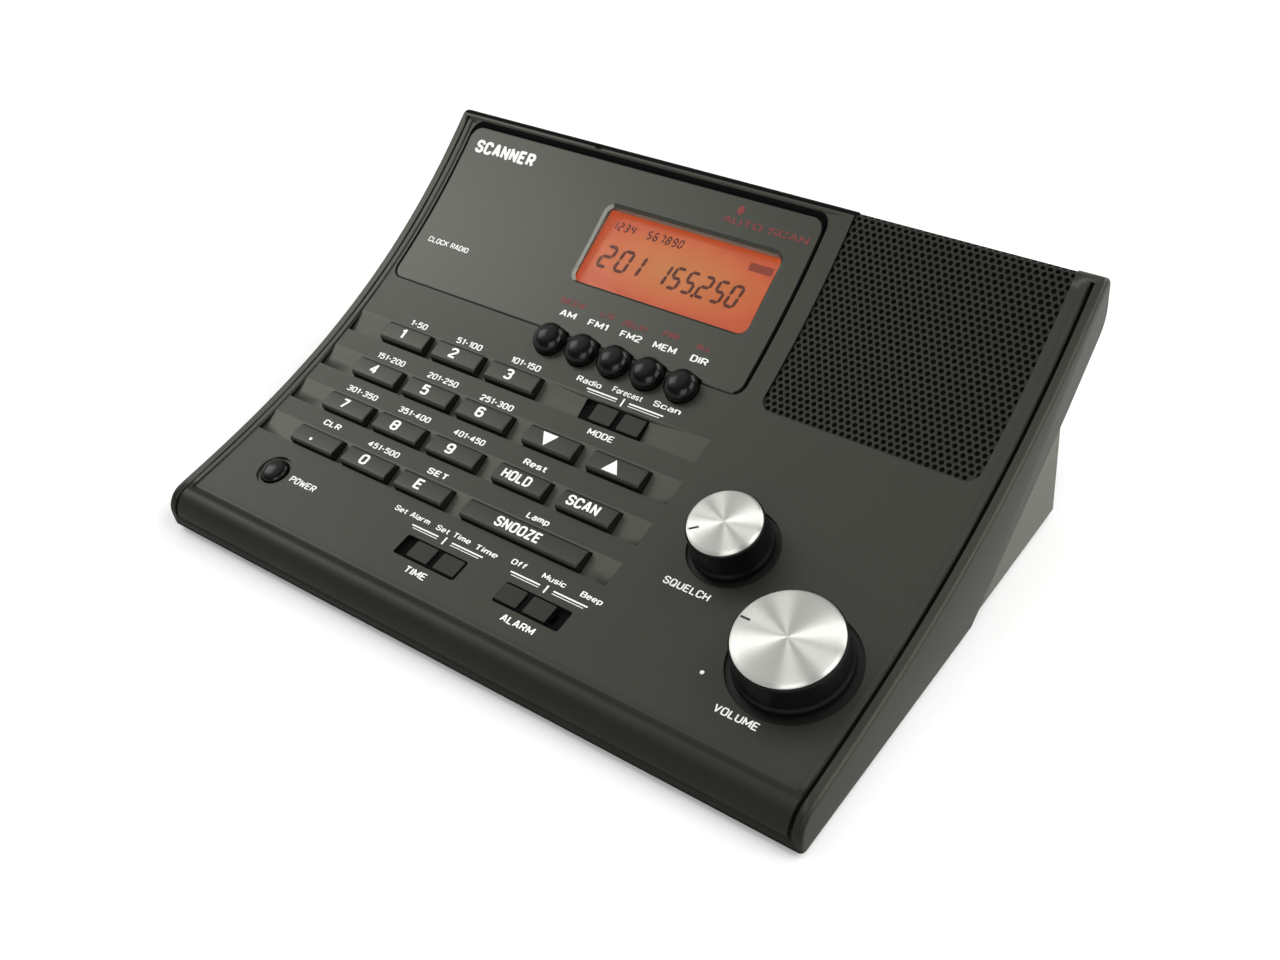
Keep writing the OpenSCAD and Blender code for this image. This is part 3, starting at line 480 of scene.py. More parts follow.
# a bold condensed stroke alphabet: each letter is a list of pen paths on a grid 7 high
O_ = [(0, 1), (0, 6), (0.9, 7), (3.1, 7), (4, 6), (4, 1), (3.1, 0), (0.9, 0), (0, 1)]
P_ = [(0, 0), (0, 7), (3, 7), (4, 6.1), (4, 4.2), (3, 3.3), (0, 3.3)]
o_ = [(0, 0.8), (0, 4), (0.8, 4.8), (2.6, 4.8), (3.4, 4), (3.4, 0.8), (2.6, 0), (0.8, 0), (0, 0.8)]
STROKES = {
    "A": [[(0, 0), (1.65, 7), (2.35, 7), (4, 0)], [(0.6, 2.1), (3.4, 2.1)]],
    "B": [[(3.2, 3.7), (0, 3.7), (0, 7), (3, 7), (4, 6.2), (4, 4.5), (3.2, 3.7), (4, 2.9), (4, 0.8), (3.1, 0), (0, 0), (0, 3.7)]],
    "C": [[(4, 5.0), (4, 6), (3.1, 7), (0.9, 7), (0, 6), (0, 1), (0.9, 0), (3.1, 0), (4, 1), (4, 2.0)]],
    "D": [[(0, 0), (0, 7), (2.8, 7), (4, 5.8), (4, 1.2), (2.8, 0), (0, 0)]],
    "E": [[(3.8, 7), (0, 7), (0, 0), (3.8, 0)], [(0, 3.6), (3.3, 3.6)]],
    "F": [[(3.8, 7), (0, 7), (0, 0)], [(0, 3.6), (3.3, 3.6)]],
    "G": [[(4, 5.2), (4, 6), (3.1, 7), (0.9, 7), (0, 6), (0, 1), (0.9, 0), (3.1, 0), (4, 1), (4, 3.2), (2.4, 3.2)]],
    "H": [[(0, 0), (0, 7)], [(4, 0), (4, 7)], [(0, 3.6), (4, 3.6)]],
    "I": [[(0, 0), (0, 7)]],
    "K": [[(0, 0), (0, 7)], [(4, 7), (0.2, 2.9)], [(1.5, 4.3), (4, 0)]],
    "L": [[(0, 7), (0, 0), (3.5, 0)]],
    "M": [[(0, 0), (0, 7), (2.6, 1.6), (5.2, 7), (5.2, 0)]],
    "N": [[(0, 0), (0, 7), (4, 0), (4, 7)]],
    "O": [O_], "P": [P_], "Q": [O_, [(2.5, 1.9), (4.3, -0.5)]], "R": [P_, [(2.1, 3.3), (4, 0)]],
    "S": [[(4, 5.3), (4, 6), (3.1, 7), (0.9, 7), (0, 6), (0, 4.7), (0.9, 3.8), (3.1, 3.3), (4, 2.4), (4, 1), (3.1, 0), (0.9, 0), (0, 1), (0, 1.8)]],
    "T": [[(2, 0), (2, 7)], [(0, 7), (4, 7)]],
    "U": [[(0, 7), (0, 1), (0.9, 0), (3.1, 0), (4, 1), (4, 7)]],
    "V": [[(0, 7), (2, 0), (4, 7)]],
    "W": [[(0, 7), (1.3, 0), (2.8, 5.6), (4.3, 0), (5.6, 7)]],
    "X": [[(0, 0), (4, 7)], [(0, 7), (4, 0)]],
    "Y": [[(0, 7), (2, 3.2), (4, 7)], [(2, 3.2), (2, 0)]],
    "Z": [[(0, 7), (4, 7), (0, 0), (4, 0)]],
    "0": [O_], "1": [[(0.2, 5.5), (1.7, 7), (1.7, 0)]],
    "2": [[(0, 5.3), (0, 6), (0.9, 7), (3.1, 7), (4, 6), (4, 4.6), (0.1, 0.8), (0.1, 0), (4, 0)]],
    "3": [[(0, 6), (0.9, 7), (3.1, 7), (4, 6), (4, 4.6), (3.1, 3.7), (4, 2.8), (4, 1), (3.1, 0), (0.9, 0), (0, 1)], [(3.1, 3.7), (1.5, 3.7)]],
    "4": [[(3, 0), (3, 7), (0, 2), (4.3, 2)]],
    "5": [[(3.9, 7), (0.3, 7), (0.1, 3.9), (1.0, 4.4), (3.1, 4.4), (4, 3.5), (4, 1), (3.1, 0), (0.9, 0), (0, 1)]],
    "6": [[(4, 6), (3.1, 7), (0.9, 7), (0, 6), (0, 1), (0.9, 0), (3.1, 0), (4, 1), (4, 3), (3.1, 4), (0, 4)]],
    "7": [[(0, 7), (4, 7), (1.4, 0)]],
    "8": [O_, [(0, 3.7), (4, 3.7)]],
    "9": [[(0, 1), (0.9, 0), (3.1, 0), (4, 1), (4, 6), (3.1, 7), (0.9, 7), (0, 6), (0, 4), (0.9, 3), (4, 3)]],
    "-": [[(0.2, 3.4), (2.4, 3.4)]], ".": [[(0, -0.1), (0, 1.1)]],
    "a": [[(0.4, 4.8), (2.6, 4.8), (3.4, 4), (3.4, 0), (0.8, 0), (0, 0.7), (0, 2.1), (0.8, 2.8), (3.4, 2.8)]],
    "c": [[(3.4, 3.6), (3.4, 4.0), (2.6, 4.8), (0.8, 4.8), (0, 4), (0, 0.8), (0.8, 0), (2.6, 0), (3.4, 0.8), (3.4, 1.2)]],
    "d": [[(3.4, 7), (3.4, 0), (0.8, 0), (0, 0.8), (0, 4), (0.8, 4.8), (3.4, 4.8)]],
    "e": [[(0, 2.4), (3.4, 2.4), (3.4, 4), (2.6, 4.8), (0.8, 4.8), (0, 4), (0, 0.8), (0.8, 0), (3.2, 0)]],
    "f": [[(2.7, 7), (1.7, 7), (1, 6.4), (1, 0)], [(0, 4.8), (2.5, 4.8)]],
    "i": [[(0, 0), (0, 4.9)], [(0, 6.0), (0, 7.2)]],
    "l": [[(0, 0), (0, 7)]],
    "m": [[(0, 0), (0, 4.8), (4.4, 4.8), (5.2, 4.0), (5.2, 0)], [(2.6, 4.8), (2.6, 0)]],
    "n": [[(0, 0), (0, 4.8), (2.6, 4.8), (3.4, 4), (3.4, 0)]],
    "o": [o_],
    "p": [[(0, -2), (0, 4.8), (2.6, 4.8), (3.4, 4), (3.4, 0.8), (2.6, 0), (0, 0)]],
    "r": [[(0, 0), (0, 4.8), (2.4, 4.8)]],
    "s": [[(3.3, 4.1), (2.6, 4.8), (0.7, 4.8), (0, 4.1), (0, 3.2), (0.7, 2.5), (2.7, 2.3), (3.4, 1.6), (3.4, 0.7), (2.7, 0), (0.7, 0), (0, 0.7)]],
    "t": [[(1, 6.4), (1, 0.7), (1.7, 0), (2.7, 0)], [(0, 4.8), (2.6, 4.8)]],
    "u": [[(0, 4.8), (0, 0.8), (0.8, 0), (3.4, 0), (3.4, 4.8)]],
    "/": [[(0, -0.4), (2.6, 7.4)]], " ": [],
}
LETTERS = {}


def letter(ch, t):
    """One letter as a flat union of pen strokes t wide: points, faces and its advance."""
    key = (ch, round(t, 3))
    if key in LETTERS:
        return LETTERS[key]
    pts, faces, w = [], [], 1.4
    for path_ in STROKES[ch]:
        w = max([w if ch in " " else 0] + [q[0] for q in path_] + ([wide] if faces else []))
        wide = w
        for k, (a, b) in enumerate(zip(path_, path_[1:])):
            a, b = Vector(a), Vector(b)
            d = (b - a).normalized()
            n = Vector((-d.y, d.x)) * (t / 2)
            m0 = len(pts)
            pts += [a - n, b - n, b + n, a + n]
            faces.append([m0, m0 + 1, m0 + 2, m0 + 3])
        ring = path_ if path_[0] == path_[-1] else path_[1:-1]
        for a in ring:
            m0 = len(pts)
            pts += [Vector((a[0] + t / 2 * math.cos(2 * math.pi * i / 10 + 0.11), a[1] + t / 2 * math.sin(2 * math.pi * i / 10 + 0.11))) for i in range(10)]
            faces.append(list(range(m0, m0 + 10)))
    if not faces:
        LETTERS[key] = ([], [], 1.4)
        return LETTERS[key]
    vo, eo, fo, _, _, forig = delaunay_2d_cdt(pts, [], faces, 1, 1e-3)
    keep = [list(f) for f, orig in zip(fo, forig) if orig]
    used = sorted({i for f in keep for i in f})
    re = {v: k for k, v in enumerate(used)}
    # a point where two strokes only touch would leave an open edge, so very thin slivers are dropped
    out = []
    for f in keep:
        a = sum(vo[p_].x * vo[q_].y - vo[q_].x * vo[p_].y for p_, q_ in zip(f, f[1:] + f[:1])) / 2
        if abs(a) > 1e-9:
            out.append([re[i] for i in f] if a > 0 else [re[i] for i in f][::-1])
    LETTERS[key] = ([(vo[i].x, vo[i].y) for i in used], out, max(q[0] for path_ in STROKES[ch] for q in path_))
    return LETTERS[key]


def word(bm, txt, x0, x1, yc, h, fn, lift=0.03, thick=0.05, shear=0.0, mat=0, bold=1.25):
    """A word fitted between x0 and x1, its capitals h high, centred on yc."""
    t = bold
    total = sum(letter(c, t)[2] for c in txt) + (len(txt) - 1) * (t + 0.75) + t
    sy = h / (7 + t)
    sx = (x1 - x0) / total
    cur = t / 2
    for c in txt:
        pts, faces, adv = letter(c, t)
        if faces:
            q = [(x0 + (cur + px_ + shear * py_) * sx, yc - h / 2 + (py_ + t / 2) * sy) for px_, py_ in pts]
            slab(bm, q, faces, fn, lift, lift + thick, mat)
        cur += adv + t + 0.75


def bar(bm, pts, fn, lift=0.03, thick=0.05, mat=0):
    slab(bm, pts, [list(range(len(pts)))], fn, lift, lift + thick, mat)


def line(bm, a, b, w, fn, **kw):
    a, b = Vector(a), Vector(b)
    d = (b - a).normalized()
    n = Vector((-d.y, d.x)) * w / 2
    bar(bm, [tuple(a - n), tuple(b - n), tuple(b + n), tuple(a + n)], fn, **kw)


def disc(bm, x, y, r, fn, n=20, **kw):
    bar(bm, [(x + r * math.cos(2 * math.pi * i / n), y + r * math.sin(2 * math.pi * i / n)) for i in range(n)], fn, **kw)


def lathe(name, prof, matrix, mat, body, replaces=(), segs=72, loop=False, ribs=None, sharp=35.0):
    bm = bmesh.new()
    rings = []
    for r, z in prof:
        if r < 1e-6:
            rings.append([bm.verts.new((0, 0, z * MM))])
        else:
            ring = []
            for i in range(segs):
                a = 2 * math.pi * i / segs
                rr = r + (ribs(r, z, i) if ribs else 0)
                ring.append(bm.verts.new((rr * math.cos(a) * MM, rr * math.sin(a) * MM, z * MM)))
            rings.append(ring)
    pairs = list(zip(rings, rings[1:]))
    if loop:
        pairs.append((rings[-1], rings[0]))
    for A, B in pairs:
        if len(A) == 1 and len(B) == 1:
            continue
        for i in range(segs):
            j = (i + 1) % segs
            if len(A) == 1:
                bm.faces.new([A[0], B[j], B[i]])
            elif len(B) == 1:
                bm.faces.new([A[i], A[j], B[0]])
            else:
                bm.faces.new([A[i], A[j], B[j], B[i]])
    return finish_piece(name, bm, [mat], body, replaces, sharp, matrix)


def on_panel(x, y):
    return Matrix.Translation(pan(x, y)) @ Matrix.Rotation(slope(y), 4, "X")


def panel(x, y, h):
    """x, then y as a distance along X-Y plan, lifted h over the panel."""
    return pan(x, y, h)


# ---------------------------------------------------------------- case shells
def height(p):
    """Height over the panel of a row-frame point, in mm."""
    y = p.y * 1000 + 80.4
    z = p.z * 1000 - 1.5
    for _ in range(3):
        s = slope(y)
        h = (z - top(y)) * math.cos(s)
        y = p.y * 1000 + 80.4 + h * math.sin(s)
    return (p.z * 1000 - 1.5 - top(y)) * math.cos(slope(y)) if abs(y) < 300 else -99


def outer_edge(e):
    a, b = (v.co * 1000 for v in e.verts)
    return abs(abs(a.x) - 115) < 0.02 and abs(abs(b.x) - 115) < 0.02 and not (a.x < 0 and (a.yz - Vector((-14.4, 12.1))).length < 4)


PN = Vector((0, -0.4572, 0.8894))


def cover_painted_light(f):
    """Painted light on the top cover: near-black painted shade in slots, grooves and recesses, painted shade in the
    knob wells, a painted sheen that makes the finger channels lighter, and painted shade on the darker side walls.
    """
    c_ = f.center
    x, y = c_.x * 1000, c_.y * 1000 + 80.4
    h = height(c_)
    # side walls: painted shade
    if abs(x) > 114.0 and abs(f.normal.x) > 0.9:
        return 3
    # side grooves, fascia and grille recesses, slider slots: near-black painted shade
    if 110.7 < abs(x) < 112.3 and h < -0.35 and y > 2:
        return 1
    if y > 89.3 and -110 < x < 108 and -3.5 < h < -0.06:
        return 1
    for sx_, sy_ in ((-0.95, 83.8), (-20.55, 21.8), (17.15, 21.75)):
        if abs(x - sx_) < 11.75 and abs(y - sy_) < 4.2 and h < -0.4:
            return 1
    # knob wells: painted shade
    for kx, ky, kd, _ in (VOL, SQL):
        if math.hypot(x - kx, (y - ky) / 0.8894) < kd / 2 + 2.6 and -6 < h < -0.05:
            return 4
    # finger channels: painted shade on the end walls, a painted sheen on the floors
    if -108.9 < x < 31.5 and 35.5 < y < 89.0 and -4 < h < -0.02:
        if f.normal.x > 0.6:
            return 1
        if f.normal.dot(PN) > 0.88:
            return 2
    return 0


cad_copy("top_cover", "case", [(outer_edge, 1.1, 3)], panel_normals=True, paint=cover_painted_light, extra=["black_and_painted_shade", "channel_painted_sheen", "side_wall_painted_shade", "well_painted_shade"])


def wedge_edge(e):
    a, b = (v.co * 1000 for v in e.verts)
    return abs(abs(a.x) - 113.6) < 0.02 and abs(abs(b.x) - 113.6) < 0.02


cad_copy("bottom_cover", "case", [(wedge_edge, 0.5, 2)])


def window_edge(e):
    for v in e.verts:
        p = v.co * 1000
        if not (abs(height(v.co) + 0.2) < 0.12 and abs(p.x + 9.9) < 33.5 and p.y > 30 and p.y < 70):
            return False
    return True


def fascia_rim(e):
    for v in e.verts:
        p = v.co * 1000
        if abs(height(v.co) + 0.2) > 0.12 or window_edge(e):
            return False
        x, y = p.x, p.y + 80.4
        if -106.5 < x < 30.3 and 104 < y < 152.3:
            return False
    return True


def fascia_painted_light(f):
    """Painted light on the fascia: a black gap of painted shade along its right and upper edges, a painted highlight
    on the chamfer at the window's left, and painted shade on the window wall below it.
    """
    p = f.center * 1000
    up = f.normal.dot(PN)
    if not (-44 < p.x < 24 and 34 < p.y < 68):
        if up < 0.35 or (up < 0.97 and (p.x > 29.5 or p.y > 70.5)):
            return 2
        return 0
    # the window's left chamfer gets a painted highlight, the wall below it painted shade
    if -43.4 < p.x < -41.0 and 36 < p.y < 66 and f.normal.x > 0.25:
        return 1 if f.normal.x < 0.9 else 2
    return 0


cad_copy("fascia_panel", "case", [(window_edge, 0.9, 1), (fascia_rim, 0.7, 2)], panel_normals=True, paint=fascia_painted_light, extra=["window_rim_painted_highlight", "black_and_painted_shade"])

# ---------------------------------------------------------------- keys
KEY_AT = {}
for r_, names in enumerate((["key_1", "key_2", "key_3"], ["key_4", "key_5", "key_6", "key_down", "key_up"],
                            ["key_7", "key_8", "key_9", "key_hold", "key_scan"], ["key_dot", "key_0", "key_enter"])):
    for c_, n_ in enumerate(names):
        KEY_AT[n_] = (COL[c_][0], ROW[r_])
KEY_AT["key_snooze"] = (-0.6, ROW[3])


def key_edge(e):
    hs = [height(v.co) for v in e.verts]
    return max(hs) > 0.5


def key_surface(y):
    """A point on the top of the key whose centre is at y: x, distance up the key from its centre, height."""
    c0 = bv(y)
    a, b, d = bn(y - 2.7) + 1.85, bn(y) + 1.9, bn(y + 2.7) + 1.85

    def f(x, v, h):
        n = a + (b - a) * (v + 2.7) / 2.7 if v < 0 else b + (d - b) * v / 2.7
        return ctl(x, c0 + v, n + h)
    return f


LEGEND = {"key_1": "1", "key_2": "2", "key_3": "3", "key_4": "4", "key_5": "5", "key_6": "6", "key_7": "7", "key_8": "8", "key_9": "9", "key_0": "0", "key_enter": "E"}
WIDTH = {"1": 1.3, "7": 2.2, "E": 2.3}
for k in KEYS:
    x, y = KEY_AT[k]
    # key faces turned away from the panel get near-black painted shade
    cad_copy(k, k, [(key_edge, 0.42, 2)], sharp=50, paint=lambda f: 1 if f.normal.dot(PN) < 0.45 else 0, extra=["key_side_painted_shade"])
    bm = bmesh.new()
    f = key_surface(y)
    if k in LEGEND:
        t = LEGEND[k]
        w = WIDTH.get(t, 2.35)
        word(bm, t, x - 1.3 - w / 2 - 0.35, x - 1.3 + w / 2 + 0.35, 0.2, 3.7, f, bold=1.5)
    elif k == "key_dot":
        disc(bm, x - 1.5, -0.9, 0.55, f)
    elif k == "key_down":
        bar(bm, [(x - 4.1, 2.2), (x - 1.3, -2.2), (x + 1.6, 2.2)], f)
    elif k == "key_up":
        bar(bm, [(x - 4.1, -2.2), (x + 1.6, -2.2), (x - 1.3, 2.2)], f)
    elif k == "key_hold":
        word(bm, "HOLD", -19.6, -9.0, 0.1, 3.5, f, bold=1.5)
    elif k == "key_scan":
        word(bm, "SCAN", 4.6, 15.9, 0.3, 3.5, f, bold=1.5)
    elif k == "key_snooze":
        word(bm, "SNOOZE", -10.2, 6.3, 0.0, 3.5, f, bold=1.5)
    finish_piece(k + "_legend", bm, ["ink"], k, smooth=False)

# ---------------------------------------------------------------- round buttons
def dome(d, h, crown, flange, n=9):
    p = [(0, 0), (d / 2 + 0.7, 0), (d / 2 + 0.7, flange), (d / 2, flange), (d / 2, h - crown - 0.5)]
    for i in range(1, n + 1):
        a = rad(90 * i / n)
        p.append(((d / 2) * math.cos(a), h - crown - 0.4 + (crown + 0.4) * math.sin(a)))
    p[-1] = (0, h)
    return p


for i, b in enumerate(BANDS):
    x = -11.04 + (i - 2) * 12.48
    m = Matrix.Translation(dsp(x, dv(BAND_Y), 4.4)) @ Matrix.Rotation(rad(28), 4, "X")
    lathe(b + "_dome", dome(10.4, dn(BAND_Y) - 4.4 + 4.6, 2.3, 0.7, 14), m, "gloss_black", b, (b,), 64)
m = Matrix.Translation(ctl(-89.9, bv(25.2), 3.8)) @ Matrix.Rotation(rad(13.5), 4, "X")
lathe("power_button_dome", dome(9.0, bn(25.2) - 3.8 + 1.5, 1.3, 0.5), m, "gloss_black", "power_button", ("power_button",), 64)

# ---------------------------------------------------------------- sliders
for n_ in ("mode_slider", "time_slider", "alarm_slider"):
    # the slider base and its side faces get near-black painted shade
    cad_copy(n_, n_, [(lambda e: min(height(v.co) for v in e.verts) > 0.2, 0.28, 2)], sharp=45,
             paint=lambda f: 1 if height(f.center) < 0.25 or f.normal.dot(PN) < 0.5 else 0, extra=["black_and_painted_shade"])

# ---------------------------------------------------------------- knobs
KH = 12.2
for nm, (x, y, d, a) in (("volume", VOL), ("squelch", SQL)):
    body = nm + "_control"
    R = d / 2
    mtx = on_panel(x, y)
    n_rib = 96 if nm == "volume" else 72
    segs = n_rib * 3
    prof = [(3.0, 1.6), (5.5, 1.6), (5.5, 6.0), (R - 2.0, 6.0), (R - 2.0, 0.5), (R - 0.35, 0.5), (R - 0.08, 0.68), (R, 1.0), (R, 2.3), (R - 0.15, 2.75),
            (R - 0.6, 3.15), (R - 0.72, 3.6), (R - 0.78, KH - 1.9), (R - 0.82, KH - 1.45), (R - 0.98, KH - 1.08), (R - 1.2, KH - 0.92), (R - 1.33, KH - 0.95), (R - 1.34, KH - 1.2), (3.0, KH - 1.2)]
    lathe(nm + "_knob_body", prof, mtx, "knob_black", body, (nm + "_knob",), 144, loop=True)
    rd = R - 1.36
    dp = [(0, KH - 1.19), (rd, KH - 1.19), (rd, KH - 0.72), (rd - 0.05, KH - 0.60), (rd - 0.66, KH - 0.05), (rd - 0.78, KH)]
    dp += [(rd * (1 - k / 10), KH - 0.004 * k) for k in range(2, 10)] + [(0, KH - 0.04)]
    lathe(nm + "_knob_face", dp, mtx, "spun_aluminium", body, (nm + "_knob_disc",), 144, sharp=24)
    # the pointer notch is drawn as a thin black inlay in place of the groove; its black is painted shade
    bm = bmesh.new()
    ca, sa = math.cos(rad(a)), math.sin(rad(a))
    f = (lambda M_: (lambda u, v, h: M_ @ (Vector((u * ca - v * sa, u * sa + v * ca, KH + h)) * MM)))(mtx)
    bar(bm, [(rd - 3.6, -0.33), (rd - 0.8, -0.33), (rd - 0.8, 0.33), (rd - 3.6, 0.33)], f, lift=-0.04, thick=0.07)
    finish_piece(nm + "_pointer", bm, ["black_plastic"], body, smooth=False)

# ---------------------------------------------------------------- speaker grille
GX0, GX1, GY = 39.0, 106.2, 101.7
path = []
for i in range(61):
    y = GY - 1.0 + (155.3 - GY + 1.0) * i / 60
    sl = slope(y)
    path.append((Vector((y, top(y))), Vector((-math.sin(sl), math.cos(sl)))))
for i in range(1, 20):
    a = rad(115 - 95 * i / 19)
    path.append((Vector((157.4 + 2.6 * math.cos(a), 64.05 + 2.6 * math.sin(a))), Vector((math.cos(a), math.sin(a)))))
arc = [0.0]
for (p, _), (q, _) in zip(path, path[1:]):
    arc.append(arc[-1] + (q - p).length)
S_END = arc[-1]


def roll_out(x, s_, h):
    s_ = max(0.0, min(S_END, s_))
    k = 0
    lo_, hi_ = 0, len(arc) - 1
    while hi_ - lo_ > 1:
        mid = (lo_ + hi_) // 2
        if arc[mid] <= s_:
            lo_ = mid
        else:
            hi_ = mid
    t = (s_ - arc[lo_]) / (arc[hi_] - arc[lo_])
    p = path[lo_][0].lerp(path[hi_][0], t)
    n = path[lo_][1].lerp(path[hi_][1], t).normalized()
    q = p + n * h
    return W(x, q.x, q.y)


s0 = 1.0 / math.cos(slope(101))
RC = 3.9
outline = []
for i in range(9):
    a = rad(270 - 90 * i / 8)
    outline.append((GX0 + RC + RC * math.cos(a), s0 + RC + RC * math.sin(a)))
n_side = 26
outline += [(GX0, s0 + RC + (S_END - s0 - RC) * i / n_side) for i in range(1, n_side + 1)]
outline += [(GX0 + (GX1 - GX0) * i / 24, S_END) for i in range(1, 25)]
outline += [(GX1, S_END - (S_END - s0 - RC) * i / n_side) for i in range(1, n_side + 1)]
for i in range(1, 9):
    a = rad(0 - 90 * i / 8)
    outline.append((GX1 - RC + RC * math.cos(a), s0 + RC + RC * math.sin(a)))
outline = outline[::-1]
PX, PS, RH = 2.18, 1.89, 0.77
pts = [Vector(p) for p in outline]
faces = [list(range(len(pts)))]
row = 0
s_ = s0 + 1.15
while s_ < S_END - 0.9:
    x = GX0 + 0.25 + (row % 2) * PX / 2
    while x < GX1 - 0.4:
        if not ((x < GX0 + RC or x > GX1 - RC) and s_ < s0 + RC and math.hypot(abs(x - (GX0 + GX1) / 2) - ((GX1 - GX0) / 2 - RC), s_ - s0 - RC) > RC - 0.35):
            base = len(pts)
            pts += [Vector((x + RH * math.cos(2 * math.pi * i / 10 + 0.3), s_ + RH * math.sin(2 * math.pi * i / 10 + 0.3))) for i in range(10)]
            faces.append(list(range(base, base + 10)))
        x += PX
    s_ += PS
    row += 1
vo, eo, fo, _, _, forig = delaunay_2d_cdt(pts, [], faces, 1, 1e-6)
keep = [list(f) for f, orig in zip(fo, forig) if orig == [0] or set(orig) == {0}]
used = sorted({i for f in keep for i in f})
re_ = {v: k for k, v in enumerate(used)}
P2 = [tuple(vo[i]) for i in used]
F2 = [[re_[i] for i in f] for f in keep]
bm = bmesh.new()
slab(bm, P2, F2, roll_out, -1.25, -0.6, 0)
# a near-black backing sheet behind the perforated plate, painted shade that darkens the holes
full = delaunay_2d_cdt([Vector(p) for p in outline] + [Vector((GX0 + 3 + i * 5, s0 + 3 + j * 2.4)) for i in range(13) for j in range(int((S_END - s0 - 4) / 2.4))], [], [list(range(len(outline)))], 1, 1e-6)
slab(bm, [tuple(v) for v in full[0]], [list(f) for f in full[2]], roll_out, -1.50, -1.33, 1)
finish_piece("speaker_grille_sheet", bm, ["grille_plastic", "grille_backing_painted_shade"], "case", ("speaker_grille",), sharp=30)

# ---------------------------------------------------------------- display segments
SEG = {"0": "abcdef", "1": "bc", "2": "abged", "3": "abgcd", "4": "fgbc", "5": "afgcd", "6": "afgcde", "7": "abc", "8": "abcdefg", "9": "abfgcd"}


def digit(bm, ch, u, v, w, h, t, fn, slant=0.12, **kw):
    g = t * 0.05
    m_ = h / 2

    def put(poly):
        bar(bm, [(u + a - w / 2 + slant * (b - h / 2), v + b) for a, b in poly], fn, **kw)

    def hor(b):
        return [(g + t / 2, b), (g + t, b - t / 2), (w - g - t, b - t / 2), (w - g - t / 2, b), (w - g - t, b + t / 2), (g + t, b + t / 2)]

    def ver(a, b0, b1):
        return [(a, b0 + g), (a + t / 2, b0 + g + t / 2), (a + t / 2, b1 - g - t / 2), (a, b1 - g), (a - t / 2, b1 - g - t / 2), (a - t / 2, b0 + g + t / 2)]
    where = {"a": hor(h - t / 2), "d": hor(t / 2), "g": hor(m_), "b": ver(w - t / 2, m_, h - t / 2), "c": ver(w - t / 2, t / 2, m_), "f": ver(t / 2, m_, h - t / 2), "e": ver(t / 2, t / 2, m_)}
    for s1 in SEG[ch]:
        put(where[s1])


lcd_fn = lambda u, v, h: dsp(WIN_X + u, v, 4.95 + h)
bm = bmesh.new()
for ch, u in (("2", -26.2), ("0", -19.5), ("1", -14.6)):
    digit(bm, ch, u, -6.2, 4.8, 8.4, 1.15, lcd_fn, lift=0.03, thick=0.04)
for ch, u in (("1", -4.4), ("5", 0.7), ("5", 6.0), ("2", 11.3), ("5", 16.8), ("0", 22.0)):
    digit(bm, ch, u, -6.2, 4.2, 8.2, 1.1, lcd_fn, lift=0.03, thick=0.04)
disc(bm, 8.6, -5.9, 0.62, lcd_fn, n=12, lift=0.03, thick=0.04)
for ch, u in zip("1234", (-29.6, -27.2, -24.8, -22.4)):
    digit(bm, ch, u, 7.4, 1.8, 3.2, 0.56, lcd_fn, lift=0.03, thick=0.04)
for ch, u in zip("567890", (-15.8, -13.4, -11.0, -8.6, -6.2, -3.9)):
    digit(bm, ch, u, 7.4, 1.8, 3.2, 0.56, lcd_fn, lift=0.03, thick=0.04)
finish_piece("lcd_segments", bm, ["lcd_ink"], "case", smooth=False)
bm = bmesh.new()
bar(bm, [(21.6, 7.3), (30.0, 7.3), (30.0, 10.0), (21.6, 10.0)], lcd_fn, lift=0.03, thick=0.04)
finish_piece("lcd_icon_bar", bm, ["lcd_icon"], "case", smooth=False)

# ---------------------------------------------------------------- printed legends on the panel
bm = bmesh.new()
SMALL = [("1-50", -87.8, -80.8, 90.0), ("51-100", -67.6, -57.0, 89.9), ("101-150", -44.9, -33.2, 90.2),
         ("151-200", -90.8, -78.9, 75.9), ("201-250", -68.5, -55.9, 75.9), ("251-300", -45.8, -32.8, 75.4),
         ("301-350", -91.8, -78.6, 61.7), ("351-400", -68.8, -55.7, 61.7), ("401-450", -45.5, -33.2, 61.7),
         ("CLR", -89.1, -81.9, 47.6), ("451-500", -68.8, -55.9, 47.0), ("SET", -43.5, -35.5, 46.8),
         ("Rest", -17.5, -8.6, 61.6), ("Lamp", -4.3, 3.8, 46.6)]
for t, a, b, y in SMALL:
    word(bm, t, a, b, y, 2.05, panel, bold=1.45)
for t, a, b, y, h in (("POWER", -82.2, -71.4, 25.2, 2.3), ("TIME", -24.5, -16.4, 15.3, 2.3), ("ALARM", 11.9, 23.3, 15.1, 2.3), ("MODE", -5.4, 4.0, 77.8, 2.0),
                      ("Set Alarm", -43.0, -29.2, 31.5, 1.8), ("Set Time", -26.3, -13.2, 31.3, 1.8), ("Time", -11.0, -2.7, 30.9, 1.8),
                      ("Off", 2.1, 7.4, 31.6, 1.8), ("Music", 13.3, 21.5, 31.6, 1.8), ("Beep", 26.9, 34.2, 31.5, 1.8),
                      ("Radio", -19.8, -10.5, 91.9, 1.8), ("Forecast", -6.6, 4.4, 92.5, 1.8), ("Scan", 8.3, 18.0, 92.8, 1.8),
                      ("AM", -39.0, -32.9, 109.1, 2.0), ("FM1", -27.8, -20.3, 109.0, 2.0), ("FM2", -15.3, -7.4, 108.9, 2.0), ("MEM", -2.9, 5.4, 109.0, 2.0), ("DIR", 10.9, 16.9, 108.9, 2.0),
                      ("SQUELCH", 44.6, 59.3, 45.6, 2.3), ("VOLUME", 78.9, 91.9, 18.8, 2.3)):
    word(bm, t, a, b, y, h, panel, lift=0.03 if y < 100 else -0.17)
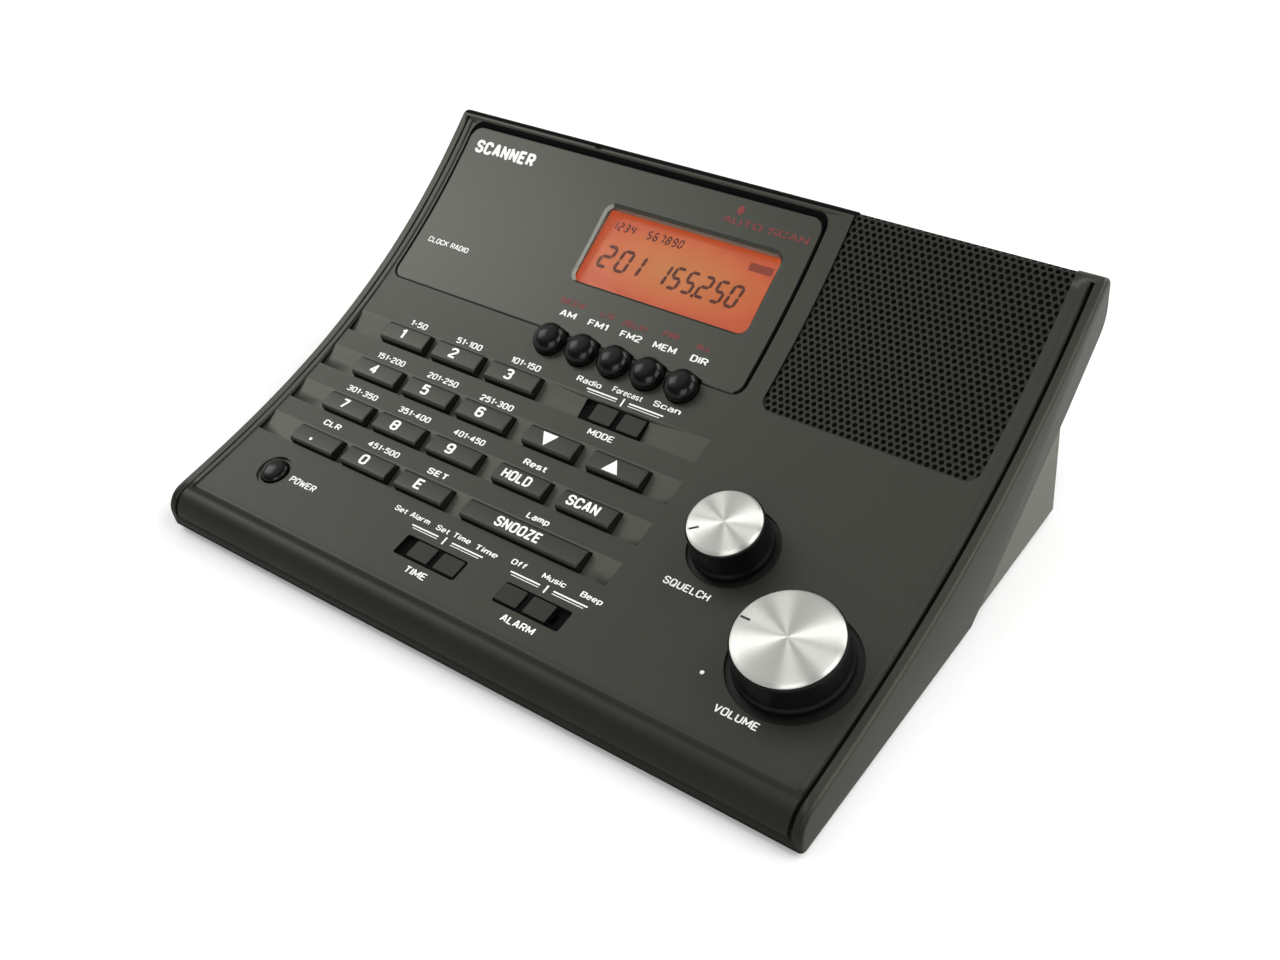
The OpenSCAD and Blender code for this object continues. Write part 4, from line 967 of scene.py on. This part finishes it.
for y, xs in ((28.6, ((-33.7, -23.4), (-18.1, -6.4))), (28.5, ((4.1, 14.7), (19.5, 31.3))), (89.9, ((-14.7, -3.2), (1.2, 13.6)))):
    for a, b in xs:
        line(bm, (a, y), (b, y), 0.45, panel)
    line(bm, (xs[0][0] + 0.9, y - 0.85), (xs[0][1], y - 0.85), 0.22, panel)
    line(bm, (xs[1][0], y - 0.85), (xs[1][1] - 0.9, y - 0.85), 0.22, panel)
    mid = (xs[0][1] + xs[1][0]) / 2
    line(bm, (mid, y + 0.9), (mid, y - 1.7), 0.55, panel)
disc(bm, 70.4, 25.8, 0.6, panel)
word(bm, "SCANNER", -103.1, -77.4, 148.3, 3.7, panel, lift=-0.17, bold=1.9)
word(bm, "CLOCK RADIO", -102.3, -84.6, 117.6, 1.7, panel, lift=-0.17)
finish_piece("panel_legends", bm, ["ink"], "case", smooth=False)
bm = bmesh.new()
for t, a, b, y in (("SEEK", -41.5, -31.6, 112.7), ("L/O", -25.2, -20.4, 112.6), ("DELAY", -16.5, -7.0, 112.3), ("PRI", -1.7, 3.6, 113.0), ("ALL", 10.7, 15.8, 112.6)):
    word(bm, t, a, b, y, 1.7, panel, lift=-0.17)
word(bm, "AUTO SCAN", -1.6, 28.6, 147.4, 1.7, panel, lift=-0.17, bold=1.0)
disc(bm, 3.0, 150.4, 1.2, panel, lift=-0.17)
finish_piece("panel_legends_red", bm, ["ink_red"], "case", smooth=False)

# ---------------------------------------------------------------- stage and light
floor = bpy.data.objects.new("floor", bpy.data.meshes.new("floor"))
bm = bmesh.new()
bmesh.ops.create_grid(bm, x_segments=4, y_segments=4, size=4.0)
bm.to_mesh(floor.data)
bm.free()
scene.collection.objects.link(floor)
floor.data.materials.append(plastic("floor_paper", (0.90, 0.90, 0.895), rough=0.85, grain=2.0, bump=0.05, var=0.01, spec=0.1))


def area(name, loc, aim, size, power, col=(1, 1, 1)):
    l = bpy.data.lights.new(name, "AREA")
    l.shape = "RECTANGLE"
    l.size, l.size_y = size
    l.energy = power
    l.color = col
    o = bpy.data.objects.new(name, l)
    scene.collection.objects.link(o)
    o.location = loc
    o.rotation_mode = "QUATERNION"
    o.rotation_quaternion = (Vector(aim) - Vector(loc)).to_track_quat("-Z", "Y")
    return o


area("key_light", (-0.88, -0.08, 0.80), (-0.02, 0.0, 0.03), (0.46, 0.52), 3.2)
area("right_light", (1.05, 0.15, 0.95), (0.10, 0.0, 0.0), (0.8, 0.8), 9.5)
area("front_light", (0.55, -1.00, 0.90), (0.0, -0.1, 0.0), (0.8, 0.8), 8.5)
area("rear_light", (0.50, 1.05, 0.95), (0.0, 0.2, 0.0), (0.8, 0.8), 9.5)
world = bpy.data.worlds.new("soft")
scene.world = world
world.use_nodes = True
nt = world.node_tree
nt.nodes.clear()
wo = nt.nodes.new("ShaderNodeOutputWorld")
bg = nt.nodes.new("ShaderNodeBackground")
tc = nt.nodes.new("ShaderNodeTexCoord")
dp_ = nt.nodes.new("ShaderNodeVectorMath")
dp_.operation = "DOT_PRODUCT"
dp_.inputs[1].default_value = Vector((-0.52, 0.05, 0.86)).normalized()
mr = nt.nodes.new("ShaderNodeMapRange")
mr.interpolation_type = "SMOOTHSTEP"
mr.inputs["From Min"].default_value = math.cos(rad(44))
mr.inputs["From Max"].default_value = math.cos(rad(18))
mr.inputs["To Min"].default_value = 0.14
mr.inputs["To Max"].default_value = 1.15
nt.links.new(tc.outputs["Generated"], dp_.inputs[0])
nt.links.new(dp_.outputs["Value"], mr.inputs["Value"])
# a pale band round the horizon, so that the floor runs out into white at every angle
sp = nt.nodes.new("ShaderNodeSeparateXYZ")
hz = nt.nodes.new("ShaderNodeMapRange")
hz.interpolation_type = "SMOOTHSTEP"
hz.inputs["From Min"].default_value = 0.24
hz.inputs["From Max"].default_value = 0.40
hz.inputs["To Min"].default_value = 1.0
hz.inputs["To Max"].default_value = 0.14
mx = nt.nodes.new("ShaderNodeMath")
mx.operation = "MAXIMUM"
nt.links.new(tc.outputs["Generated"], sp.inputs[0])
nt.links.new(sp.outputs[2], hz.inputs["Value"])
nt.links.new(mr.outputs[0], mx.inputs[0])
nt.links.new(hz.outputs[0], mx.inputs[1])
nt.links.new(mx.outputs[0], bg.inputs[1])
bg.inputs[0].default_value = (1, 1, 1, 1)
nt.links.new(bg.outputs[0], wo.inputs[0])
scene.view_settings.view_transform = "Standard"
scene.view_settings.look = "None"
